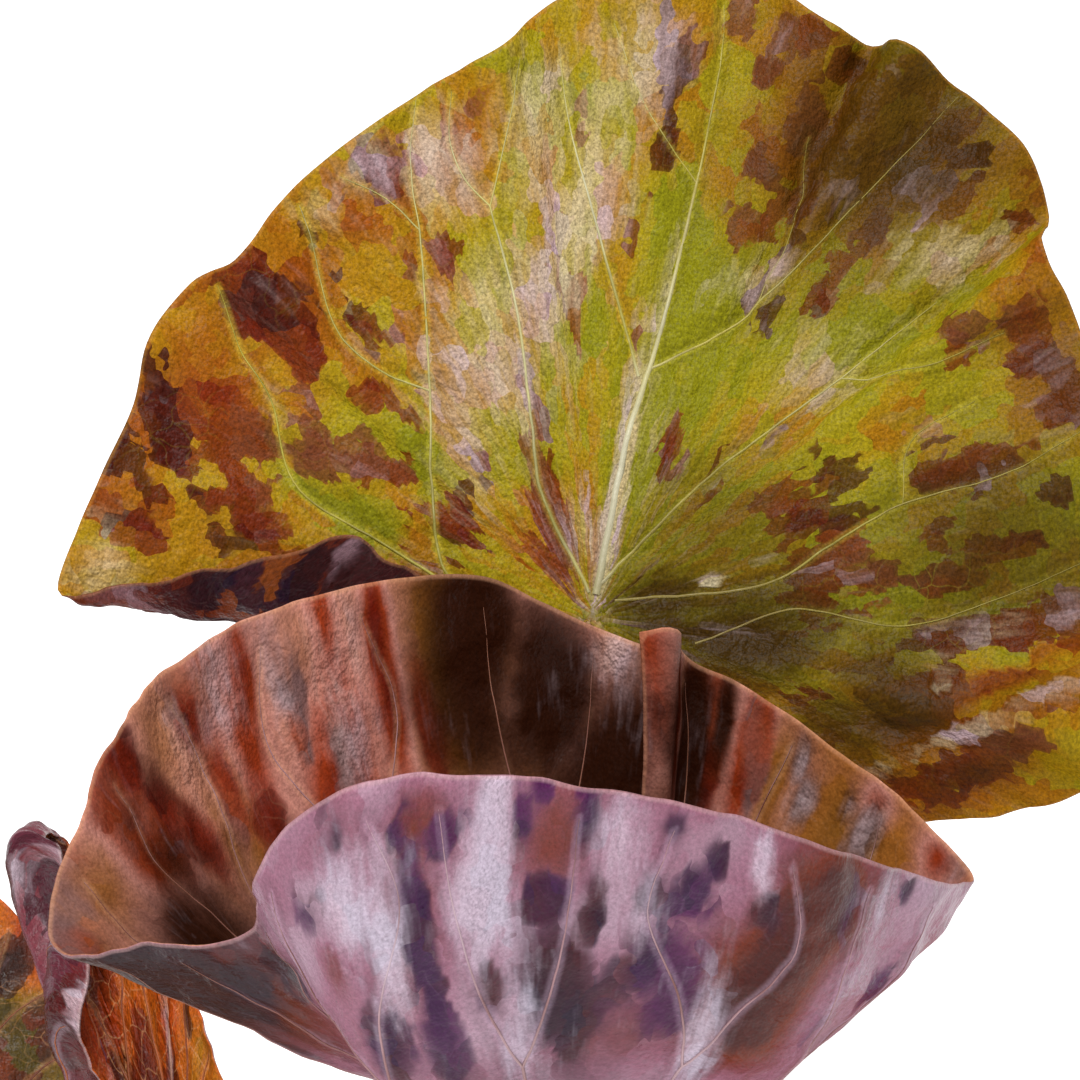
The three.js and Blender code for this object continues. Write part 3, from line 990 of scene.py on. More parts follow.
class BladeGrid:
    """A blade's middle surface with its relief, as rows of points from the heart to the margin."""

    def __init__(
        self, form: BladeForm, relief: Relief, veins: tuple[Vein, ...], columns: int, rows: int, seed: int
    ) -> None:
        """Work out the surface.

        Args:
            form: The blade's plain form.
            relief: Its small heights.
            veins: The veins that they lie between.
            columns: How many steps to take round the margin.
            rows: How many steps to take from the heart to the margin.
            seed: What the small heights are drawn from.
        """
        self.columns, self.rows = columns, rows
        local = form.surface(columns, rows)
        steps = np.linalg.norm(np.diff(local, axis=1), axis=2)
        self.reach = np.concatenate([np.zeros((columns + 1, 1)), np.cumsum(steps, axis=1)], axis=1)
        self.turn = np.linspace(-HALF_TURN, HALF_TURN, columns + 1)[:, None] * np.ones(rows + 1)
        self.flat = np.stack([self.reach * np.sin(self.turn), self.reach * np.cos(self.turn)], -1)
        tree = search_tree(np.vstack([vein.samples(VEIN_SEARCH_STEP)[:, :2] for vein in veins]))
        found = [tree.find((x, y, 0))[2] for x, y in self.flat.reshape(-1, 2)]
        self.vein = np.array(found).reshape(self.reach.shape)
        beside = self.reach * np.minimum(HALF_TURN - self.turn, self.turn + HALF_TURN)
        self.edge = np.minimum(self.reach[:, -1:] - self.reach, beside)
        around = np.cumsum(np.linalg.norm(np.diff(local[:, -1], axis=0), axis=1))
        margin = np.concatenate([[0], around])[:, None] * np.ones(rows + 1)
        lift = relief.lift(self.flat, self.vein, self.edge, margin, seed)
        self.points = local + self._normals(local) * lift[..., None]
        self.normals = self._normals(self.points)
        self.chips = self._chips(seed)

    def _chips(self, seed: int) -> np.ndarray:
        """Give each point the middle of the small angular chip of the blade that it lies in.

        Args:
            seed: What the chips are drawn from.

        Returns:
            The middles' places on the flat blade.
        """
        draw = np.random.default_rng(seed + CHIP_SEED_STEP)
        turns, reach = TURN_WIDTH * math.pi, CHIP_STRETCH * self.reach.max()
        count = int(2 * turns * CHIP_STRETCH * self.reach.max() / CHIP_SIZE**2)
        middles = np.column_stack([draw.uniform(-turns, turns, count), draw.uniform(0, reach, count)])
        tree = search_tree(middles)
        places = np.stack([TURN_WIDTH * self.turn, CHIP_STRETCH * self.reach], -1).reshape(-1, 2)
        found = middles[[tree.find((x, y, 0))[1] for x, y in places]]
        turn, far = found[:, 0] / TURN_WIDTH, found[:, 1] / CHIP_STRETCH
        return np.stack([far * np.sin(turn), far * np.cos(turn)], -1).reshape(self.flat.shape)

    @staticmethod
    def _normals(points: np.ndarray) -> np.ndarray:
        """Find the way that the upper side faces.

        Args:
            points: The surface's points, by column and row.

        Returns:
            A direction of length 1 at each point.
        """
        found = np.cross(np.gradient(points, axis=0), np.gradient(points, axis=1))
        found[:, 0] = found[:, 1].sum(axis=0)
        return found / np.maximum(np.linalg.norm(found, axis=-1, keepdims=True), TINY)

    def at(self, flat: np.ndarray) -> tuple[np.ndarray, np.ndarray]:
        """Find places of the flat blade on the surface.

        Args:
            flat: Rows of across and along, in millimetres.

        Returns:
            The points there and the upper side's normals.
        """
        turn = np.clip(np.arctan2(flat[:, 0], flat[:, 1]), -HALF_TURN, HALF_TURN)
        column = (turn + HALF_TURN) / (2 * HALF_TURN) * self.columns
        left = np.minimum(column.astype(int), self.columns - 1)
        part = (column - left)[:, None]
        far = np.linalg.norm(flat, axis=1)
        reach = self.reach[left] * (1 - part) + self.reach[left + 1] * part
        row = np.array([np.interp(r, line, np.arange(self.rows + 1)) for r, line in zip(far, reach)])
        low = np.minimum(row.astype(int), self.rows - 1)
        share = (row - low)[:, None]
        found = []
        for values in (self.points, self.normals):
            near = values[left, low] * (1 - part) + values[left + 1, low] * part
            away = values[left, low + 1] * (1 - part) + values[left + 1, low + 1] * part
            found.append(near * (1 - share) + away * share)
        return found[0], found[1] / np.linalg.norm(found[1], axis=1, keepdims=True)


def fanned_veins(form: BladeForm) -> tuple[Vein, ...]:
    """Lay out veins that fan out from the heart of a blade and fork on the way to its margin.

    Args:
        form: The blade's form.

    Returns:
        The veins.
    """
    reach = np.linalg.norm(np.diff(form.surface(*FAN_GRID), axis=1), axis=2).sum(axis=1)
    angles = np.linspace(CLEFT_ANGLE - 180, 180 - CLEFT_ANGLE, len(reach))

    def place(angle: float, share: float) -> tuple[float, float]:
        """Find a place on the flat blade by its angle from the tip and its share of the reach there."""
        far = share * float(np.interp(angle, angles, reach))
        return far * math.sin(math.radians(angle)), far * math.cos(math.radians(angle))

    found: list[Vein] = []
    for i, turn in enumerate(FAN_TURNS):
        bend = FAN_BEND * math.sin(FAN_BEND_PACE * i + FAN_BEND_PHASE)
        fork = place(turn, FAN_FORK)
        trunk = place(turn, FAN_START), place(turn + bend, FAN_BEND_SHARE), fork
        found.append(Vein(trunk, *TRUNK_RADII))
        for way in (-1, 1):
            ends = (place(turn + way * (aside + part * bend), share) for aside, part, share in FORK_PATH)
            found.append(Vein((fork, *ends), *FORK_RADII))
    return tuple(found)


class Wardrobe:
    """Keeps each finish's material."""

    def __init__(self) -> None:
        """Start with no finish."""
        self._made: dict[str, bpy.types.Material] = {}

    def wear(self, finish: LeafSkin | FlecksFinish) -> bpy.types.Material:
        """Give the material of a finish, made the first time that it is asked for.

        Args:
            finish: The finish.

        Returns:
            Its material.
        """
        if finish.name not in self._made:
            self._made[finish.name] = finish.material()
        return self._made[finish.name]


@dataclass(frozen=True)
class Stalk:
    """A round stalk that leans out of the crown and follows its blade's way up, with sizes in millimetres.

    Its lean is the share of outwards in its first way, its follow the share of its own rise in its last
    way, and the two pulls are how much of the rise each way holds for.
    """

    name: str
    foot: tuple[float, float]
    girth: float
    seed: int
    foot_height: float = 9.0
    top_drop: float = 0.6
    base_radius: float = 3.0
    top_radius: float = 1.9
    lean: float = 0.35
    follow: float = 0.9
    foot_pull: float = 0.4
    top_pull: float = 0.3
    wave: float = 0.1
    wave_length: float = 14.0
    top_flare: float = 0.9
    top_flare_reach: float = 2.2
    foot_flare: float = 0.7
    foot_flare_reach: float = 5.0
    step: float = 1.5
    steps_least: int = 16
    sides: int = 20

    def build(
        self, heart: np.ndarray, up: np.ndarray, tubes: GrownForm, dress: Wardrobe
    ) -> bpy.types.Object:
        """Build the stalk and dress it.

        Args:
            heart: Where its blade's heart is, in millimetres.
            up: The way that the blade faces there.
            tubes: The form that makes round tubes.
            dress: Where finishes are kept.

        Returns:
            The stalk.
        """
        values = {"Sides": self.sides, "Material": dress.wear(STALK_FINISH)}
        made = tubes.grow(f"stem_{self.name}", self._line(heart, up), values)
        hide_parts(f"stalk_{self.name}")
        return made

    def _line(self, heart: np.ndarray, up: np.ndarray) -> bpy.types.Mesh:
        """Bend the line from the crown to the blade's heart, and widen it at both ends.

        Args:
            heart: Where the blade's heart is, in millimetres.
            up: The way that the blade faces there.

        Returns:
            The line.
        """
        top = heart - up * self.top_drop
        bottom = np.array([*self.foot, self.foot_height])
        rise = float(np.linalg.norm(top - bottom))
        outward = np.array([heart[0], heart[1], 0]) / math.hypot(heart[0], heart[1])
        start = self.lean * outward + np.array([0, 0, 1])
        end = self.follow * (top - bottom) / rise + up
        first = bottom + self.foot_pull * rise * start / np.linalg.norm(start)
        second = top - self.top_pull * rise * end / np.linalg.norm(end)
        t = np.linspace(0, 1, max(self.steps_least, round(rise / self.step)))[:, None]
        near = (1 - t) ** 3 * bottom + 3 * t * (1 - t) ** 2 * first
        line = near + 3 * t * t * (1 - t) * second + t**3 * top
        along = t[:, 0] * rise
        radius = self.base_radius + (self.top_radius - self.base_radius) * t[:, 0]
        places = np.column_stack([along / self.wave_length, 0 * along])
        radius += self.wave * swell(places, self.seed)
        radius += self.top_flare * np.exp(-(((rise - along) / self.top_flare_reach) ** 2))
        radius += self.foot_flare * np.exp(-((along / self.foot_flare_reach) ** 2))
        return line_mesh(f"line_{self.name}", [line * MM], [radius * self.girth * MM])


@dataclass(frozen=True)
class Leaf:
    """One leaf: a blade with its veins, on a stalk that rises from the crown."""

    name: str
    form: BladeForm
    foot: tuple[float, float]
    skins: tuple[LeafSkin, LeafSkin]
    slot: str
    vein_finish: FlecksFinish
    upper: Marks
    lower: Marks
    seed: int
    veins: tuple[Vein, ...] = ()
    relief: Relief = Relief()
    vein_girth: float = 0.75
    vein_sides: int = 6
    girth: float = 0.75
    columns: int = 180
    rows: int = 45

    def build(self, tubes: GrownForm, dress: Wardrobe) -> list[bpy.types.Object]:
        """Build the leaf's pieces and dress them.

        Args:
            tubes: The form that makes round tubes.
            dress: Where finishes are kept.

        Returns:
            The blade, its veins and the stalk.
        """
        veins = self.veins or fanned_veins(self.form)
        grid = BladeGrid(self.form, self.relief, veins, self.columns, self.rows, self.seed)
        drop = self._drop(grid)
        blade = self._blade(grid, drop, dress)
        values = {"Sides": self.vein_sides, "Material": dress.wear(self.vein_finish)}
        lines = tubes.grow(f"veins_{self.name}", self._vein_lines(grid, veins, drop), values)
        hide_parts(f"leaf_{self.name}")
        heart = self.form.place(np.zeros(3)) / MM + drop / MM
        up = self.form.place(np.array([0.0, 0.0, 1.0])) / MM + drop / MM - heart
        stalk = Stalk(self.name, self.foot, self.girth, self.seed).build(heart, up, tubes, dress)
        return [blade, lines, stalk]

    def _drop(self, grid: BladeGrid) -> np.ndarray:
        """Say how a resting blade is let down to the ground.

        Args:
            grid: The blade's middle surface.

        Returns:
            The move, in metres.
        """
        if not self.form.rests:
            return np.zeros(3)
        low = self.form.place(grid.points)[..., 2].min() / MM - RESTING_HEIGHT
        return np.array([0, 0, -low * MM])

    def _blade(self, grid: BladeGrid, drop: np.ndarray, dress: Wardrobe) -> bpy.types.Object:
        """Build the blade as one closed sheet with a rounded edge.

        Args:
            grid: Its middle surface.
            drop: How it is let down.
            dress: Where finishes are kept.

        Returns:
            The blade.
        """
        columns, rows = grid.columns, grid.rows
        thick = thickness(np.linspace(0, 1, rows + 1))[None, :, None] * np.ones((columns + 1, 1, 1))
        number = np.zeros((columns + 1, rows + 1), int)
        number[:, 1:] = 1 + np.arange((columns + 1) * rows).reshape(columns + 1, rows)
        loop = [(0, j) for j in range(rows)] + [(i, rows) for i in range(columns + 1)]
        loop += [(columns, j) for j in range(rows - 1, 0, -1)]
        ring = tuple(np.array(loop).T)
        sides = [one_side(grid.points + side * thick * grid.normals) for side in (0.5, -0.5)]
        middle = grid.points[ring]
        outward = np.cross(grid.normals[ring], np.roll(middle, -1, axis=0) - np.roll(middle, 1, axis=0))
        outward /= np.maximum(np.linalg.norm(outward, axis=1, keepdims=True), TINY)
        bulge = middle + EDGE_BULGE * thick[ring] * outward
        bulge[0] = middle[0]
        count = len(sides[0])
        corners = number[:-1, 1:-1], number[1:, 1:-1], number[1:, 2:], number[:-1, 2:]
        quads = np.stack(corners, -1).reshape(-1, 4)
        fan = np.stack([np.zeros(columns, int), number[1:, 1], number[:-1, 1]], -1)
        top, rim = number[ring], 2 * count + np.arange(len(loop))
        after, rim_after = np.roll(top, -1), np.roll(rim, -1)
        upper_rim = np.stack([top, after, rim_after, rim], -1)
        lower_rim = np.stack([rim, rim_after, after + count, top + count], -1)
        upper = [*quads.tolist(), *fan.tolist(), *upper_rim.tolist()]
        lower = [*(quads[:, ::-1] + count).tolist(), *(fan[:, ::-1] + count).tolist(), *lower_rim.tolist()]
        vertices = self.form.place(np.vstack([*sides, bulge])) + drop
        mesh = bpy.data.meshes.new(f"blade_{self.name}")
        mesh.from_pydata(vertices.tolist(), [], upper + lower)
        for skin in self.skins:
            mesh.materials.append(dress.wear(skin))
        slots = np.repeat(np.array([0, 1], np.int32), [len(upper), len(lower)])
        mesh.polygons.foreach_set("material_index", slots)
        mesh.shade_smooth()
        self._carry(mesh, grid, ring)
        return show(mesh.name, mesh)

    def _carry(self, mesh: bpy.types.Mesh, grid: BladeGrid, ring: tuple[np.ndarray, ...]) -> None:
        """Write the fields that the skins read on the blade's points.

        Args:
            mesh: The blade's mesh.
            grid: Its middle surface.
            ring: The columns and rows round its outline.
        """
        pulls = [CHIP_PULL * skin.chipping * (grid.chips - grid.flat) for skin in self.skins]
        upper = self.upper.fields(grid.flat, grid.flat + pulls[0])
        lower = self.lower.fields(grid.flat, grid.flat + pulls[1])
        nought = np.zeros_like(grid.reach)
        fields = {name: (upper[name], lower[name]) for name in upper}
        fields |= {
            "vein": (grid.vein, grid.vein),
            "edge": (grid.edge, grid.edge),
            "disc": (np.dstack([grid.flat, nought]),) * 2,
            "radial": (np.dstack([grid.turn * TURN_WIDTH, REACH_STRETCH * grid.reach, nought]),) * 2,
        }
        for name, (first, second) in fields.items():
            carry(mesh, name, np.concatenate([one_side(first), one_side(second), first[ring]]))

    def _vein_lines(self, grid: BladeGrid, veins: tuple[Vein, ...], drop: np.ndarray) -> bpy.types.Mesh:
        """Lay the raised veins of both sides on the blade.

        Args:
            grid: The blade's middle surface.
            veins: Their lines on the flat blade.
            drop: How the blade is let down.

        Returns:
            The veins' lines.
        """
        places, widths = [], []
        # Each vein point carries its blade's painted sheen and painted shade there
        fields: dict[str, list[np.ndarray]] = {"painted_sheen": [], "shade": []}
        for side in Side:
            upper = side is Side.UPPER
            marks = self.upper if upper else self.lower
            for vein in veins:
                rows = vein.samples(VEIN_STEP)
                flat = rows[:, :2]
                points, normals = grid.at(flat)
                girth = self.vein_girth * rows[:, 2:] * (1.0 if upper else LOWER_VEIN_GIRTH)
                far = np.linalg.norm(flat, axis=1, keepdims=True) / grid.reach.max()
                sunk = 0.5 * thickness(np.minimum(far, 1)) - 0.5 * girth
                places.append(self.form.place(points + side.value * normals * sunk) + drop)
                widths.append(girth[:, 0] * MM)
                found = marks.fields(flat, flat)
                for name, values in fields.items():
                    values.append(found[name])
        mesh = line_mesh(f"lines_{self.name}", places, widths)
        for name, parts in fields.items():
            carry(mesh, name, np.concatenate(parts))
        return mesh


def one_side(values: np.ndarray) -> np.ndarray:
    """Line a grid's values up with one side's points, of which the heart is only one."""
    return np.concatenate([values[:1, 0], values[:, 1:].reshape(-1, *values.shape[2:])])


@dataclass(frozen=True)
class Crown:
    """The short, thick stem base, cut off flat, that the stalks rise from, with its sizes in millimetres."""

    outline: tuple[tuple[float, float], ...] = ((12.5, 0), (14.5, 6.3), (13.6, 14.7), (8, 20), (0.2, 21))
    rings: int = 40
    sides: int = 96
    cut_height: float = 0.2
    lump_height: float = 1.1
    lump_count: float = 190.0
    lump_skew: float = 3.0
    lump_detail: float = 3.0
    lump_middle: float = 0.6
    fibre_start: float = 5.0
    fibres: float = 0.35
    fibre_length: float = 2.2
    fibre_sides: int = 5
    fibre_tip_radius: float = 0.03
    fibre_root_radius: float = 0.14
    fibre_leans: tuple[Place, Place] = ((0.5, -0.9, 0.0), (1.5, 0.9, 6.28))
    fibre_scales: tuple[float, float] = (0.5, 1.3)
    fibre_seed: int = 7

    def build(self, dress: Wardrobe) -> list[bpy.types.Object]:
        """Build the crown's body and the short fibres on its flank.

        Args:
            dress: Where finishes are kept.

        Returns:
            Both pieces.
        """
        values = {"Material": dress.wear(CROWN_FINISH)}
        body = self._lumpy_form().grow("crown_body", self._turned(), values)
        values = {"Material": dress.wear(FIBRE_FINISH)}
        fibres = self._scatter_form().grow("crown_fibres", body.data.copy(), values)
        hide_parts("crown")
        return [body, fibres]

    def _lumpy_form(self) -> GrownForm:
        """Build the tree that raises irregular lumps on a body above its flat cut.

        Returns:
            The tree.
        """
        inputs = {"Lump Height": self.lump_height * MM, "Lump Count": self.lump_count}
        form = GrownForm("lumpy_body", inputs | {"Skew": self.lump_skew})
        graph, given = form.graph, form.given
        place = graph.add("GeometryNodeInputPosition").outputs[0]
        moved = graph.vector("ADD", {0: place, 1: given["Skew"]})
        inputs = {"Vector": moved, "Scale": given["Lump Count"], "Detail": self.lump_detail}
        lumps = graph.add("ShaderNodeTexNoise", inputs).outputs[0]
        lift = graph.math("MULTIPLY", graph.math("SUBTRACT", lumps, self.lump_middle), given["Lump Height"])
        above = graph.add("ShaderNodeSeparateXYZ", {0: place}).outputs[2]
        free = graph.math("GREATER_THAN", above, self.cut_height * MM)
        normal = graph.add("GeometryNodeInputNormal").outputs[0]
        offset = graph.vector("SCALE", {0: normal, "Scale": lift})
        inputs = {"Geometry": given["Geometry"], "Selection": free, "Offset": offset}
        form.close(graph.add("GeometryNodeSetPosition", inputs).outputs[0])
        return form

    def _scatter_form(self) -> GrownForm:
        """Build the tree that stands short tapered fibres on a body's flank.

        Returns:
            The tree.
        """
        inputs = {"Fibres": self.fibres / MM**2, "Length": self.fibre_length * MM}
        form = GrownForm("short_fibres", inputs | {"Seed": self.fibre_seed})
        graph, given = form.graph, form.given
        seed = {"Seed": given["Seed"]}
        place = graph.add("GeometryNodeInputPosition").outputs[0]
        above = graph.add("ShaderNodeSeparateXYZ", {0: place}).outputs[2]
        flank = graph.math("GREATER_THAN", above, self.fibre_start * MM)
        inputs = {"Mesh": given["Geometry"], "Selection": flank, "Density": given["Fibres"]} | seed
        points = graph.add("GeometryNodeDistributePointsOnFaces", inputs).outputs
        inputs = {"Vertices": self.fibre_sides, "Depth": given["Length"]}
        inputs |= {"Radius Top": self.fibre_tip_radius * MM, "Radius Bottom": self.fibre_root_radius * MM}
        fibre = graph.add("GeometryNodeMeshCone", inputs).outputs[0]
        inputs = dict(enumerate(self.fibre_leans)) | seed
        lean = graph.add("FunctionNodeRandomValue", inputs, data_type="FLOAT_VECTOR").outputs[0]
        inputs = {"Rotation": points["Rotation"], "Rotate By": lean}
        turned = graph.add("FunctionNodeRotateRotation", inputs, rotation_space="LOCAL").outputs[0]
        inputs = dict(enumerate(self.fibre_scales, start=2)) | seed
        size = graph.add("FunctionNodeRandomValue", inputs, data_type="FLOAT").outputs[1]
        inputs = {"Points": points["Points"], "Instance": fibre, "Rotation": turned, "Scale": size}
        form.close(graph.add("GeometryNodeInstanceOnPoints", inputs).outputs[0])
        return form

    def _turned(self) -> bpy.types.Mesh:
        """Turn the crown's outline round its axis.

        Returns:
            A closed mesh.
        """
        outline = catmull_rom(np.array(self.outline), np.linspace(0, 1, self.rings))
        around = np.linspace(0, 2 * math.pi, self.sides, endpoint=False)
        places = [(r * math.cos(a) * MM, r * math.sin(a) * MM, z * MM) for r, z in outline for a in around]
        n = self.sides
        starts = [(i * n, j, (j + 1) % n) for i in range(self.rings - 1) for j in range(n)]
        faces = [(low + j, low + k, low + n + k, low + n + j) for low, j, k in starts]
        faces.append(tuple(reversed(range(n))))
        faces.append(tuple(range((self.rings - 1) * n, self.rings * n)))
        mesh = bpy.data.meshes.new("crown_turned")
        mesh.from_pydata(places, [], faces)
        return mesh


# The finishes, each skin with the colours of its painted sheen and of its painted shade
GREEN_UPPER = LeafSkin(
    name="green_upper",
    tones=("7c780c", "92800e", "9a6a0a", "884608", "6e2406"),
    stains=("6c381e", "743208", "5e1a06", "3a0e04"),
    painted_sheen=("c8b088", "c0b290", "bea6ac"),
    shade="3a2602",
    net="b4a83c",
    net_amount=0.06,
    shine=0.06,
    rim="b07a34",
    scatter=0.2,
    crisp=1.8,
)
GREEN_LOWER = LeafSkin(
    name="green_lower",
    tones=("783a12", "642810", "4e160e", "3c0c0c", "2a0808"),
    stains=("3c1214", "2a0a0c", "200a1e"),
    painted_sheen=("8c6c78", "96747c"),
    shade="22100c",
    net="7a5048",
    net_amount=0.08,
    rim="a07050",
    scatter=0.3,
    roughness=0.34,
    shine=0.06,
)
MAUVE_UPPER = LeafSkin(
    name="mauve_upper",
    tones=("4c3606", "905822", "b87c6e", "8e3416", "681606"),
    stains=("6e504e", "8c3c20", "6e1e0c", "460e06"),
    painted_sheen=("c4a094", "b8a0a4"),
    shade="260d03",
    net="b08868",
    net_amount=0.08,
    shine=0.05,
    soft=0.24,
    crisp=0.25,
    wrinkle=0.3,
    grain=0.4,
    depth=0.86,
    rim="c08a68",
    scatter=0.22,
    roughness=0.4,
)
LILAC_LOWER = LeafSkin(
    name="lilac_lower",
    tones=("b096a6", "966478", "7a4048", "6c2814", "46120a"),
    stains=("4e1848", "320c38", "44101a", "1c0626"),
    painted_sheen=("ccb4c4", "cfc4d6"),
    shade="261014",
    net="b89cb0",
    net_amount=0.03,
    soft=0.2,
    crisp=0.5,
    shine=0.12,
    wrinkle=0.4,
    grain=0.32,
    rim="c8a0a0",
    scatter=0.22,
    roughness=0.34,
    coat=0.08,
)
RUST_UPPER = LeafSkin(
    name="rust_upper",
    tones=("4c3e0c", "8a6412", "b05a12", "983408", "601c08"),
    stains=("782a0c", "541808", "2c0e06"),
    painted_sheen=("b48c80", "ac8c94"),
    shade="2a1604",
    net="c08a5c",
    net_amount=0.3,
    rim="b04a1c",
    scatter=0.26,
    shine=0.18,
    crisp=0.5,
)
PLUM_LOWER = LeafSkin(
    name="plum_lower",
    tones=("9c6c76", "824450", "6c2c34", "5c1a1c", "420c0a"),
    stains=("5a2430", "401420", "280810"),
    painted_sheen=("c4a4ac", "c8b4c0"),
    shade="26102a",
    net="b8a0ae",
    net_amount=0.1,
    rim="c4a8a4",
    scatter=0.3,
    roughness=0.3,
    coat=0.1,
    shine=0.2,
    grain=0.4,
)
PALE_VEIN = FlecksFinish("pale_vein", "a29632", "7a701a", 5.0, 0.5, 0.0, 0.5, "c0bca4", "685410")
MAUVE_VEIN = FlecksFinish("mauve_vein", "a07a80", "6c3c3c", 5.0, 0.45, 0.0, 0.4, "c4b0bc", "7a4c38")
RUST_VEIN = FlecksFinish("rust_vein", "985026", "6a2c10", 5.0, 0.45, 0.0, 0.4, "b08c7c", "2a1408")
STALK_FINISH = FlecksFinish("stalk_skin", "9a5a44", "6a2c22", 2.0, 0.38, 0.35)
CROWN_FINISH = FlecksFinish("crown_skin", "5c4632", "2e2018", 1.6, 0.75, 0.0, 0.6)
FIBRE_FINISH = FlecksFinish("fibre_skin", "6a5038", "38261a", 0.8, 0.7, 0.0, 0.4)
